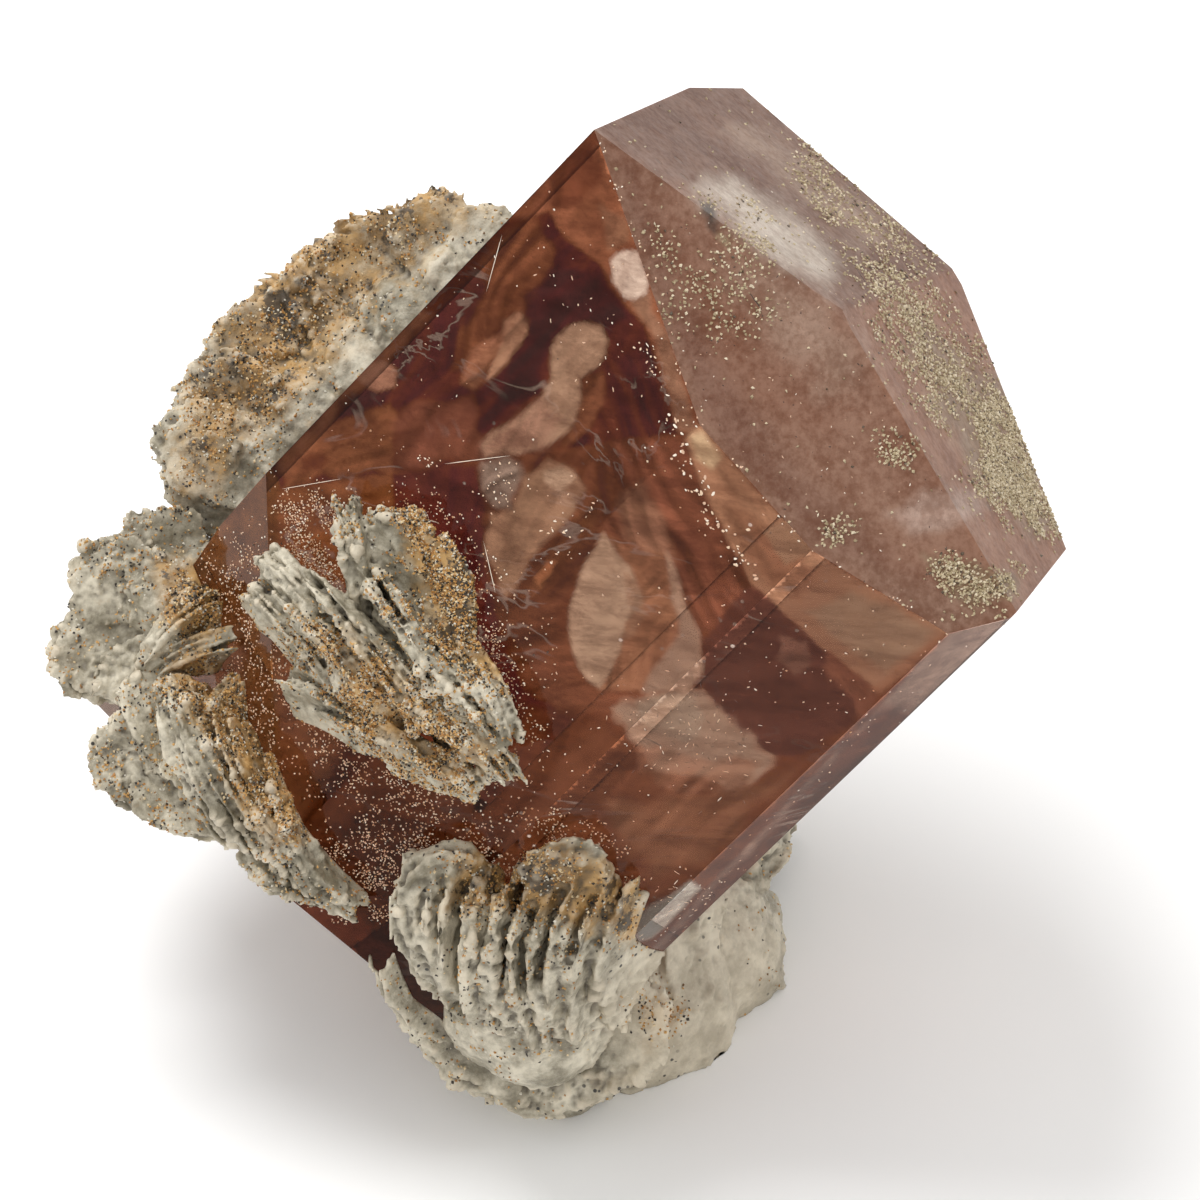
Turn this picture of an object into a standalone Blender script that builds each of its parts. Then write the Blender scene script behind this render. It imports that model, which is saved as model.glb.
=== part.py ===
"""A topaz crystal grown with clusters of bladed albite, modelled in metres with +Z up.

Places on the specimen are given in a viewing frame, in millimetres: right across the
picture, up the picture, and out towards the eye. The frame is turned so that the specimen
stands on its albite, with the crystal leaning to the right.
"""
import math
import random

import bmesh
import bpy
from mathutils import Matrix, Vector, noise
from mathutils.bvhtree import BVHTree

# Driving dimensions, in millimetres and degrees
MM = 0.001
LOOK_DOWN = 45.0  # how far the eye looks down on the specimen
AXIS_SLANT = 45.0  # the crystal's long axis, anticlockwise from level in the picture
AXIS_FORWARD = 35.0  # how far the long axis tips towards the eye
GAP = 0.3  # kept between two pieces that touch
GROUND = -26.0  # height of the surface it stands on, from the middle of the picture
BREAK_HEIGHT = 4.5  # the crystal's broken foot, above that surface
BLOCK = 120.0  # the block that the crystal's faces are cut from
BLADE_SIDES = 12
BLADE_RINGS = 4
BLADE_THICKNESS = (1.1, 1.5)  # the least and the most
BLADE_BEND = (0.22, 0.44)  # how far a blade's middle sags, in its own thicknesses
BLADE_TAPER = 0.22  # how much narrower than its middle a blade is at its root
SCALLOPS = 5  # bays round a blade's rim
SCALLOP_DEPTH = 0.07
RAGGEDNESS = 0.05
LUMP_UNEVENNESS = 0.3
SPECIMEN_SEED = 7
LEFT_OF_UNION = 0.999  # the part of a solid's volume that a good join keeps
LEFT_OF_CUT = 0.3  # the part of a solid's volume that a good cut keeps

# The crystal's flat faces: name, turn round the long axis (0 faces the eye), tilt from the
# long axis (90 is a side face), distance from the crystal's middle.
SIDE_FACES = (
    ("left", -93.8, 90.0, 15.53),
    ("front_left", -13.1, 90.0, 11.82),
    ("front", 7.5, 90.0, 11.12),
    ("front_right", 21.2, 90.0, 11.77),
    ("narrow_right", 58.3, 90.0, 15.08),
    ("right", 90.3, 90.0, 14.67),
    ("back_right", 146.3, 90.0, 15.4),
    ("back", 179.8, 90.0, 17.41),
    ("back_left", 256.6, 90.0, 16.86),
)
TOP_FACES = (
    ("slope", 19.3, 36.9, 21.6),
    ("top", 14.3, -19.8, 22.18),
    ("top_right", 135.9, 23.0, 21.25),
    ("eased_ridge", 62.0, 8.0, 24.4),
)
BASE_FACES = (
    ("base", 9.8, 149.5, 21.5),
    ("base_behind", 190.0, 158.0, 22.8),
    ("base_left", -26.9, 103.8, 15.06),
    ("base_left_behind", -89.7, 96.0, 16.84),
)

# Albite clusters. Each blade: right, up, out, length, width, direction in the picture, lean
# (0 faces the eye, 90 is edge on), tip (how far the blade's length points to the eye). Each
# lump: right, up, out, radius. Out is counted from the crystal's surface at the cluster's seat,
# and from the middle of the viewing frame where a cluster has no seat.
FRONT_SEAT = (-11.0, -2.0)
FRONT_LUMPS = ((-10.6, -3.4, 0.0, 2.8),)
FRONT_BLADES = (
    (-11.7, 1.4, 1.2, 7.8, 4.6, 84, -52, 10),
    (-10.2, 1.2, 0.6, 7.6, 5.0, 70, 12, 6),
    (-13.8, -1.0, 0.8, 8.0, 6.0, 130, -36, 0),
    (-14.6, -2.4, 0.4, 7.6, 5.4, 140, -40, -4),
    (-12.8, -2.6, 1.6, 9.0, 5.8, 132, -46, 4),
    (-11.0, -2.4, 2.0, 9.6, 5.8, 128, -48, 6),
    (-9.2, -2.0, 1.4, 9.4, 5.6, 122, -44, 4),
    (-7.6, -3.4, 1.0, 9.0, 5.2, 135, -48, 2),
    (-8.8, -5.2, 1.0, 9.2, 5.2, 150, -52, 0),
    (-10.4, -6.6, 0.8, 8.4, 5.0, 155, -54, 0),
    (-6.6, -6.2, 0.4, 7.6, 4.6, 145, -46, 0),
    (-8.2, -8.0, 0.4, 6.0, 4.0, 160, -44, 0),
    (-7.6, 0.2, 0.2, 6.0, 4.8, 108, 8, 0),
    (-12.8, -5.4, 0.4, 6.6, 4.8, 150, -38, 0),
    (-5.6, -4.4, 0.2, 5.6, 4.2, 120, -30, 0),
)
LEFT_SEAT = (-19.6, -1.4)
LEFT_LUMPS = ((-21.4, 0.0, -2.0, 2.6),)
LEFT_BLADES = (
    (-22.8, 0.0, -1.6, 8.3, 7.4, 150, -14, 4),
    (-24.2, -2.5, -1.8, 7.1, 6.0, 190, 8, 0),
    (-21.4, 1.3, -1.4, 6.4, 5.5, 112, 8, 0),
    (-21.2, -1.3, 0.6, 5.5, 3.3, 45, 58, 10),
    (-19.8, -2.5, 0.6, 5.5, 3.1, 20, 64, 6),
    (-19.0, -1.7, 0.0, 4.1, 3.4, 60, 30, 0),
    (-19.6, 0.5, -0.8, 4.6, 4.1, 70, -20, 0),
    (-22.8, -3.5, -1.2, 4.8, 4.1, 215, 10, 0),
)
LOWER_SEAT = (-17.6, -9.0)
LOWER_LUMPS = ((-18.6, -9.0, -1.0, 2.8),)
LOWER_BLADES = (
    (-21.2, -7.0, -0.4, 8.2, 5.2, 122, 22, 0),
    (-22.0, -8.4, -0.8, 7.2, 6.0, 150, -10, 0),
    (-19.8, -8.2, 0.8, 9.0, 5.2, 115, 54, 4),
    (-18.6, -9.0, 1.2, 10.0, 5.4, 118, 58, 6),
    (-17.4, -9.8, 1.4, 10.4, 5.6, 120, 60, 6),
    (-16.2, -10.6, 1.6, 10.2, 5.6, 122, 58, 6),
    (-14.9, -11.8, 1.6, 8.8, 5.2, 120, 56, 4),
    (-13.9, -13.0, 1.4, 6.6, 4.8, 118, 48, 0),
    (-20.4, -9.8, -0.8, 6.4, 5.4, 160, 14, 0),
    (-18.0, -6.4, 0.4, 5.4, 4.4, 80, 28, 0),
    (-15.4, -13.2, 0.4, 6.0, 4.8, 140, 20, 0),
)
BOTTOM_SEAT = (-4.0, -16.5)
BOTTOM_BLADES = (
    (-8.0, -16.2, -0.6, 9.4, 7.2, 100, 62, 0),
    (-6.6, -17.2, 0.0, 11.2, 8.0, 97, 66, 2),
    (-5.0, -18.0, 0.4, 12.2, 8.4, 94, 68, 4),
    (-3.4, -18.4, 0.6, 12.8, 8.4, 92, 70, 6),
    (-1.8, -18.4, 0.4, 12.8, 8.4, 90, 68, 6),
    (-0.4, -18.0, 0.0, 12.2, 8.2, 87, 64, 4),
    (1.0, -17.2, -0.8, 10.4, 7.2, 84, 58, 2),
    (1.9, -16.4, -1.6, 7.4, 5.4, 80, 50, 0),
    (-8.6, -19.2, -1.8, 7.4, 6.2, 112, 38, 0),
    (-6.0, -21.6, -2.6, 8.2, 8.2, 120, 18, -20),
    (-3.0, -22.6, -2.8, 8.2, 9.2, 90, 0, -26),
    (0.0, -22.0, -3.0, 8.0, 8.0, 60, -18, -20),
    (-7.6, -14.2, 0.4, 5.4, 5.2, 100, 20, 0),
    (-1.6, -14.0, 0.8, 5.8, 5.4, 90, 10, 0),
)
BOTTOM_LUMPS = (
    (-3.4, -19.8, -2.4, 4.6),
    (-2.6, -22.0, -6.0, 3.8),
)
FOOT_BLADES = (
    (2.6, -18.0, -12.0, 9.2, 7.6, 62, 28, 0),
    (2.0, -20.4, -13.0, 8.4, 8.2, 100, 10, 0),
    (4.2, -16.8, -11.0, 8.0, 5.6, 82, 46, 0),
    (1.0, -21.6, -13.5, 8.0, 8.0, 40, -16, 0),
    (3.4, -19.6, -15.0, 8.2, 7.4, 140, 30, 0),
    (7.0, -13.6, -17.6, 8.4, 7.0, 60, -50, -30),
    (7.4, -12.0, -20.0, 8.0, 7.0, 70, 40, -40),
    (5.0, -8.6, -24.4, 8.4, 7.4, 60, -30, -60),
    (-0.4, -6.6, -27.0, 8.6, 7.6, 95, 30, -60),
    (-6.0, -5.8, -27.6, 8.6, 7.6, 110, -30, -60),
    (-11.0, -8.4, -25.0, 8.0, 7.0, 150, 40, -50),
    (-9.6, -13.4, -19.6, 7.6, 6.8, 190, -40, -30),
)
FOOT_LUMPS = (
    (-2.5, -20.6, -11.0, 5.6),
    (0.5, -20.0, -15.5, 6.4),
    (3.5, -18.0, -18.0, 6.0),
    (-2.0, -14.5, -20.5, 6.4),
    (-7.0, -11.0, -23.4, 6.0),
    (2.5, -11.0, -23.8, 6.2),
)
BACK_BLADES = (
    (-18.4, 5.4, -3.4, 7.0, 6.2, 150, -16, 0),
    (-19.0, 7.1, -3.5, 6.8, 6.2, 140, 12, 0),
    (-17.8, 9.1, -4.5, 7.4, 7.0, 150, -14, 0),
    (-16.4, 11.3, -5.0, 7.6, 7.2, 125, 12, 0),
    (-14.6, 13.1, -5.5, 7.6, 7.0, 140, -14, 0),
    (-12.6, 14.5, -5.5, 7.4, 6.8, 120, 14, 0),
    (-10.4, 16.1, -5.0, 7.2, 6.6, 130, -12, 0),
    (-8.0, 17.5, -4.5, 6.4, 5.8, 110, 12, 0),
    (-5.8, 17.3, -4.0, 5.2, 4.7, 95, -12, 0),
    (-17.6, 6.6, -7.0, 7.0, 6.4, 140, 62, -10),
    (-15.4, 9.2, -8.5, 7.4, 6.8, 130, -58, -14),
    (-13.0, 11.6, -9.0, 7.6, 7.0, 138, 60, -14),
    (-10.6, 13.8, -8.5, 7.2, 6.6, 130, -60, -12),
    (-8.2, 15.6, -8.0, 6.4, 6.0, 128, 58, -10),
)
BACK_LUMPS = (
    (-16.9, 6.6, -5.0, 2.8),
    (-14.8, 9.0, -5.8, 3.3),
    (-12.2, 11.6, -6.2, 3.5),
    (-9.6, 14.0, -5.6, 3.1),
    (-7.4, 15.8, -4.8, 2.4),
)

MATERIALS = {
    "topaz": ((0.36, 0.13, 0.08), 0.12),
    "albite": ((0.56, 0.53, 0.45), 0.7),
}


def clear_scene():
    for item in list(bpy.data.objects):
        bpy.data.objects.remove(item, do_unlink=True)


def make_material(name):
    colour, roughness = MATERIALS[name]
    material = bpy.data.materials.new(name)
    material.use_nodes = True
    shader = material.node_tree.nodes["Principled BSDF"]
    shader.inputs["Base Color"].default_value = (*colour, 1.0)
    shader.inputs["Roughness"].default_value = roughness
    shader.inputs["Metallic"].default_value = 0.0
    return material


def view_to_world():
    """Turns the viewing frame (right, up, towards the eye) to the world's axes."""
    tip = math.radians(LOOK_DOWN)
    sine, cosine = math.sin(tip), math.cos(tip)
    return Matrix(((1, 0, 0), (0, sine, -cosine), (0, cosine, sine)))


def crystal_axes():
    """The crystal's across, front and long directions, in the viewing frame."""
    slant, tip = math.radians(AXIS_SLANT), math.radians(AXIS_FORWARD)
    along = Vector((math.cos(slant), math.sin(slant), 0))
    across = Vector((math.sin(slant), -math.cos(slant), 0))
    toward = Vector((0, 0, 1))
    long_axis = along * math.cos(tip) + toward * math.sin(tip)
    front = toward * math.cos(tip) - along * math.sin(tip)
    return across, front, long_axis


def face_normal(turn, tilt):
    across, front, long_axis = crystal_axes()
    turn, tilt = math.radians(turn), math.radians(tilt)
    sideways = across * math.sin(turn) + front * math.cos(turn)
    return sideways * math.sin(tilt) + long_axis * math.cos(tilt)


def down():
    """The world's down direction, in the viewing frame."""
    return view_to_world().transposed() @ Vector((0, 0, -1))


def cut_flat(bm, point, normal):
    """Cuts away what lies beyond a plane and closes the cut with one flat face."""
    geometry = bm.verts[:] + bm.edges[:] + bm.faces[:]
    cut = bmesh.ops.bisect_plane(
        bm, geom=geometry, dist=1e-6, plane_co=point, plane_no=normal, clear_outer=True
    )
    rim = [item for item in cut["geom_cut"] if isinstance(item, bmesh.types.BMEdge)]
    if rim:
        bmesh.ops.holes_fill(bm, edges=rim, sides=0)


def grow_crystal(extra=0.0):
    """One block cut by every crystal face, each moved out by extra."""
    bm = bmesh.new()
    bmesh.ops.create_cube(bm, size=BLOCK)
    for _, turn, tilt, distance in SIDE_FACES + TOP_FACES + BASE_FACES:
        normal = face_normal(turn, tilt)
        cut_flat(bm, normal * (distance + extra), normal)
    foot = -(GROUND + BREAK_HEIGHT) + extra
    cut_flat(bm, down() * foot, down())
    bmesh.ops.recalc_face_normals(bm, faces=bm.faces)
    return bm


def blade_axes(angle, lean, tip):
    """A blade's width, length and thickness directions in the viewing frame."""
    angle, lean, tip = math.radians(angle), math.radians(lean), math.radians(tip)
    flat = Vector((math.cos(angle), math.sin(angle), 0))
    across = Vector((math.sin(angle), -math.cos(angle), 0))
    eye = Vector((0, 0, 1))
    length = flat * math.cos(tip) + eye * math.sin(tip)
    rise = across.cross(length)
    thick = rise * math.cos(lean) + across * math.sin(lean)
    width = across * math.cos(lean) - rise * math.sin(lean)
    return width, length, thick


def blade(bm, place, length, width, axes, rng):
    """A thin curved plate: wide and scalloped at its free end, narrow where it is rooted."""
    made = bmesh.ops.create_uvsphere(bm, u_segments=BLADE_SIDES, v_segments=BLADE_RINGS, radius=1)
    thick = rng.uniform(*BLADE_THICKNESS)
    bend = rng.uniform(*BLADE_BEND)
    phase = rng.uniform(0, math.tau)
    wide, long, out = axes
    for vertex in made["verts"]:
        x, y, z = vertex.co
        turn = math.atan2(y, x)
        ragged = 1 + SCALLOP_DEPTH * math.sin(SCALLOPS * turn + phase)
        ragged += rng.uniform(-RAGGEDNESS, RAGGEDNESS)
        spread = 1 - BLADE_TAPER * (1 - y)
        x, y = x * ragged * spread, y * ragged
        z = thick * (z * 0.5 + bend * (x * x + 0.6 * y * y))
        vertex.co = place + wide * (x * width * 0.5) + long * (y * length * 0.5) + out * z


def lump(bm, place, radius, rng):
    """A rounded, uneven knob that the blades grow from."""
    made = bmesh.ops.create_icosphere(bm, subdivisions=2, radius=1)
    shift = Vector((rng.uniform(0, 50), rng.uniform(0, 50), rng.uniform(0, 50)))
    for vertex in made["verts"]:
        rough = 1 + LUMP_UNEVENNESS * noise.noise(vertex.co * 1.6 + shift)
        vertex.co = place + vertex.co * radius * rough


def to_object(bm, name, collection):
    mesh = bpy.data.meshes.new(name)
    bm.to_mesh(mesh)
    bm.free()
    item = bpy.data.objects.new(name, mesh)
    collection.objects.link(item)
    return item


def solid_volume(mesh):
    """The mesh's volume, or 0 where it isn't closed."""
    bm = bmesh.new()
    bm.from_mesh(mesh)
    closed = all(edge.is_manifold for edge in bm.edges)
    volume = bm.calc_volume(signed=True) if closed else 0.0
    bm.free()
    return volume


def boolean_result(item, other, operation, solver):
    modifier = item.modifiers.new(operation.title(), "BOOLEAN")
    modifier.operation = operation
    modifier.object = other
    modifier.solver = solver
    graph = bpy.context.evaluated_depsgraph_get()
    mesh = bpy.data.meshes.new_from_object(item.evaluated_get(graph))
    item.modifiers.clear()
    bm = bmesh.new()
    bm.from_mesh(mesh)
    bmesh.ops.triangulate(bm, faces=bm.faces)
    bm.to_mesh(mesh)
    bm.free()
    return mesh


def apply_boolean(item, other, operation):
    """Joins or cuts with another object; where EXACT leaves it open, MANIFOLD does it."""
    least = LEFT_OF_UNION if operation == "UNION" else LEFT_OF_CUT
    least *= solid_volume(item.data)
    mesh = boolean_result(item, other, operation, "EXACT")
    if solid_volume(mesh) < least:
        mesh = boolean_result(item, other, operation, "MANIFOLD")
    item.data = mesh


def drop_loose_bits(item):
    """Keeps only the largest body that the cuts leave."""
    bm = bmesh.new()
    bm.from_mesh(item.data)
    bmesh.ops.remove_doubles(bm, verts=bm.verts, dist=1e-4)
    bodies, seen = [], set()
    for start in bm.faces:
        if start in seen:
            continue
        body, queue = [], [start]
        seen.add(start)
        while queue:
            face = queue.pop()
            body.append(face)
            for edge in face.edges:
                for other in edge.link_faces:
                    if other not in seen:
                        seen.add(other)
                        queue.append(other)
        bodies.append(body)
    bodies.sort(key=lambda body: sum(face.calc_area() for face in body), reverse=True)
    for body in bodies[1:]:
        bmesh.ops.delete(bm, geom=body, context="FACES")
    bmesh.ops.triangulate(bm, faces=bm.faces)
    bm.to_mesh(item.data)
    bm.free()


def grow_cluster(name, blades, lumps, seat, on_face, carrier, collection, rng):
    """Blades and knobs joined into one solid, at the depth of their seat on the crystal."""
    base, normal = Vector((0, 0, 0)), Vector((0, 0, 1))
    if seat:
        base, face = carrier.ray_cast(Vector((*seat, BLOCK)), Vector((0, 0, -1)))[:2]
        if on_face:
            normal = face
    follow = Vector((0, 0, 1)).rotation_difference(normal)

    def place_at(right, up, out):
        flat = normal.x * (right - base.x) + normal.y * (up - base.y)
        return Vector((right, up, base.z - flat / normal.z + out))

    item = None
    for right, up, out, length, width, angle, lean, tip in blades:
        bm = bmesh.new()
        axes = [follow @ axis for axis in blade_axes(angle, lean, tip)]
        blade(bm, place_at(right, up, out), length, width, axes, rng)
        item = join(item, to_object(bm, name, collection))
    for right, up, out, radius in lumps:
        bm = bmesh.new()
        lump(bm, place_at(right, up, out), radius, rng)
        item = join(item, to_object(bm, name, collection))
    return item


def join(item, other):
    """Joins the second solid to the first and removes it; the first may be missing."""
    if item is None:
        return other
    apply_boolean(item, other, "UNION")
    bpy.data.objects.remove(other, do_unlink=True)
    return item


def main():
    clear_scene()
    rng = random.Random(SPECIMEN_SEED)
    specimen = bpy.data.collections.new("topaz_specimen")
    tools = bpy.data.collections.new("cutters")
    bpy.context.scene.collection.children.link(specimen)
    bpy.context.scene.collection.children.link(tools)

    bm = grow_crystal()
    carrier = BVHTree.FromBMesh(bm)
    crystal = to_object(bm, "topaz_crystal", specimen)
    room = to_object(grow_crystal(GAP), "crystal_room", tools)
    room.hide_render = True
    room.display_type = "WIRE"

    clusters = (
        ("albite_front", FRONT_BLADES, FRONT_LUMPS, FRONT_SEAT, True),
        ("albite_left", LEFT_BLADES, LEFT_LUMPS, LEFT_SEAT, False),
        ("albite_lower_left", LOWER_BLADES, LOWER_LUMPS, LOWER_SEAT, False),
        ("albite_back", BACK_BLADES, BACK_LUMPS, None, False),
    )
    pieces = [
        grow_cluster(name, blades, lumps, seat, on_face, carrier, specimen, rng)
        for name, blades, lumps, seat, on_face in clusters
    ]
    foot = grow_cluster("albite_foot", FOOT_BLADES, FOOT_LUMPS, None, False, carrier, specimen, rng)
    bottom = grow_cluster(
        "albite_bottom", BOTTOM_BLADES, BOTTOM_LUMPS, BOTTOM_SEAT, True, carrier,
        specimen, rng,
    )
    pieces.append(join(foot, bottom))
    for piece in pieces:
        apply_boolean(piece, room, "DIFFERENCE")
        bm = bmesh.new()
        bm.from_mesh(piece.data)
        cut_flat(bm, down() * -GROUND, down())
        bm.to_mesh(piece.data)
        bm.free()
        drop_loose_bits(piece)
        piece.data.materials.clear()
        piece.data.materials.append(bpy.data.materials.get("albite") or make_material("albite"))
    crystal.data.materials.append(make_material("topaz"))
    settle([crystal] + pieces)
    bpy.data.objects.remove(room, do_unlink=True)


def settle(pieces):
    """Turns the pieces upright, in metres, with the origin under the middle of them all."""
    turn = view_to_world().to_4x4()
    for piece in pieces:
        piece.data.transform(turn)
    points = [vertex.co for piece in pieces for vertex in piece.data.vertices]
    low = Vector([min(point[axis] for point in points) for axis in range(3)])
    high = Vector([max(point[axis] for point in points) for axis in range(3)])
    middle = (low + high) / 2
    shift = Matrix.Translation(-Vector((middle.x, middle.y, low.z)))
    for piece in pieces:
        piece.data.transform(Matrix.Scale(MM, 4) @ shift)


main()
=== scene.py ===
# %% [markdown]
# # A topaz crystal on bladed albite
#
# The specimen is one stubby, reddish brown topaz prism, 31 mm across, that grew together with
# rosettes of thin albite blades. This script dresses the measured solids: the crystal becomes
# clear stone with veils, painted reflections and painted shade, the albite becomes stacks of
# thin, ragged blades, and sugary grains lie over both. All of it stays where the solids are.

# %% Load the frame
import math

import bmesh
import bpy
import numpy as np
from mathutils import Matrix, Vector
from mathutils.bvhtree import BVHTree
from mathutils.geometry import delaunay_2d_cdt


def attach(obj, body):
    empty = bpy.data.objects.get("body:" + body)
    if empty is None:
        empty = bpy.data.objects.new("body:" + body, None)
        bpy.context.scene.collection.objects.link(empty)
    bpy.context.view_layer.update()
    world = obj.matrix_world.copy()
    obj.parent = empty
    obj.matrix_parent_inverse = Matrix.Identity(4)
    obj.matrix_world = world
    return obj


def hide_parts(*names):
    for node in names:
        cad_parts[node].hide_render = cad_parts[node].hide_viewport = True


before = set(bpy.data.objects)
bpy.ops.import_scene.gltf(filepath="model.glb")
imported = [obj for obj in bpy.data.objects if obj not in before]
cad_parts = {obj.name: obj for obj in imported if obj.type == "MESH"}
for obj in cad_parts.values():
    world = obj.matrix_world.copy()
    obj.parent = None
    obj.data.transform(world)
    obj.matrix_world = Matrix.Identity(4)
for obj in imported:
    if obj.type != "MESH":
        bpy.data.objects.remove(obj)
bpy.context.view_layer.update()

# %% [markdown]
# ## The viewing frame
# Places on the crystal were read off its front view, so they are given in a viewing frame in
# millimetres: right, up, and out towards the eye, which looks down at 45 degrees. A pixel is a
# twentieth of a millimetre at the middle of the frame.

# %% The viewing frame
MM = 0.001
LOOK_DOWN = math.radians(45)
MIDDLE = np.array((0.00228028, -0.00272147, 0.026))
DISTANCE = 500.0
PIXELS = 20.0
HALF_PICTURE = 600
TURN = np.array((
    (1, 0, 0),
    (0, math.sin(LOOK_DOWN), -math.cos(LOOK_DOWN)),
    (0, math.cos(LOOK_DOWN), math.sin(LOOK_DOWN)),
))
EYE_TURN = Matrix(TURN.tolist()).to_4x4()
TO_EYE = TURN[:, 2]
VIEW_TO_WORLD = Matrix.Translation(MIDDLE) @ EYE_TURN @ Matrix.Scale(MM, 4)
WORLD_TO_VIEW = VIEW_TO_WORLD.inverted()


def to_picture(points):
    """Where points of the viewing frame fall in the front view, in its pixels."""
    points = np.asarray(points, float)
    near = PIXELS * DISTANCE / (DISTANCE - points[:, 2])
    return np.stack(
        (HALF_PICTURE + points[:, 0] * near, HALF_PICTURE - points[:, 1] * near), axis=1
    )


print("one pixel is", 1 / PIXELS, "mm")

# %% [markdown]
# ## Tables of places
# Most of what follows is placed one by one, so it is written as plain tables: words, numbers and
# picture points such as `640,212`. Two small readers turn them into lists.

# %% Tables of places
def named_rows(text):
    """Rows that start with a word and run on over any number of lines."""
    table = []
    for word in text.split():
        if word[0].isalpha():
            table.append([word])
        elif "," in word:
            table[-1].append(tuple(float(part) for part in word.split(",")))
        else:
            table[-1].append(float(word))
    return table


def number_rows(text):
    """One row of numbers for each line."""
    return [[float(word) for word in line.split()] for line in text.strip().splitlines()]


def put(name, data):
    """A new object in the scene."""
    item = bpy.data.objects.new(name, data)
    bpy.context.scene.collection.objects.link(item)
    return item


print("the tables can be read:", named_rows("veil 0.5 640,212"))

# %% [markdown]
# ## Camera, floor and light
# A long lens half a metre away gives the flat look of a specimen photograph. The crystal is
# clear, so what it shows is mostly its surroundings: a white sky all round and a white floor
# keep it bright, and one large soft lamp above and to the left draws the shadow.

# %% Camera, floor and light
LENS, SENSOR = 300, 36
SKY_COLOUR, SKY_STRENGTH = (1.0, 0.995, 0.985, 1), 0.95
LAMP_PLACE, LAMP_TARGET = Vector((-0.14, 0.12, 0.5)), Vector((0, 0, 0.02))
LAMP_SIZE, LAMP_POWER = 0.24, 1.6
FLOOR_HALF, FLOOR_GAP = 2.0, 0.00002

scene = bpy.context.scene
scene.view_settings.view_transform = "Standard"
scene.cycles.max_bounces = 24
scene.cycles.glossy_bounces = 16
scene.cycles.transmission_bounces = 24
camera = put("camera", bpy.data.cameras.new("camera"))
camera.data.lens = LENS
camera.data.sensor_width = SENSOR
camera.data.clip_start = 0.01
camera.matrix_world = (
    Matrix.Translation(MIDDLE) @ EYE_TURN @ Matrix.Translation((0, 0, DISTANCE * MM))
)
scene.camera = camera

sky = bpy.data.worlds.new("sky")
scene.world = sky
sky.use_nodes = True
sky.node_tree.nodes["Background"].inputs["Color"].default_value = SKY_COLOUR
sky.node_tree.nodes["Background"].inputs["Strength"].default_value = SKY_STRENGTH

lamp = put("lamp_above", bpy.data.lights.new("lamp_above", "AREA"))
lamp.data.shape = "DISK"
lamp.data.size = LAMP_SIZE
lamp.data.energy = LAMP_POWER
lamp.location = LAMP_PLACE
lamp.rotation_mode = "QUATERNION"
lamp.rotation_quaternion = (LAMP_PLACE - LAMP_TARGET).to_track_quat("Z", "Y")

floor_mesh = bpy.data.meshes.new("floor")
floor_shape = bmesh.new()
bmesh.ops.create_grid(floor_shape, x_segments=4, y_segments=4, size=FLOOR_HALF)
floor_shape.to_mesh(floor_mesh)
floor_shape.free()
floor = put("floor", floor_mesh)
floor.location.z = -FLOOR_GAP
print("camera at", [round(v, 4) for v in camera.matrix_world.translation])

# %% [markdown]
# ## Writing shader maths
# A finish is a small sum over masks, so it reads best as a sum. `Strand` wraps one socket and
# overloads the operators that are used here; `Finish.add` makes any other node: its kind, its
# settings, then what goes into its sockets.

# %% Strands and finishes
class Strand:
    """One number on its way through a finish's nodes."""

    def __init__(self, finish, socket):
        self.finish, self.socket = finish, socket

    def work(self, operation, *values):
        return self.finish.add("ShaderNodeMath", {"operation": operation}, values)

    def __add__(self, other):
        return self.work("ADD", self, other)

    def __sub__(self, other):
        return self.work("SUBTRACT", self, other)

    def __rsub__(self, other):
        return self.work("SUBTRACT", other, self)

    def __mul__(self, other):
        return self.work("MULTIPLY", self, other)

    def rise(self, start, end):
        """0 below start, 1 above end, and smooth between them."""
        return self.finish.add(
            "ShaderNodeMapRange", {"interpolation_type": "SMOOTHSTEP"},
            {"Value": self, "From Min": start, "From Max": end},
        )


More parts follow.
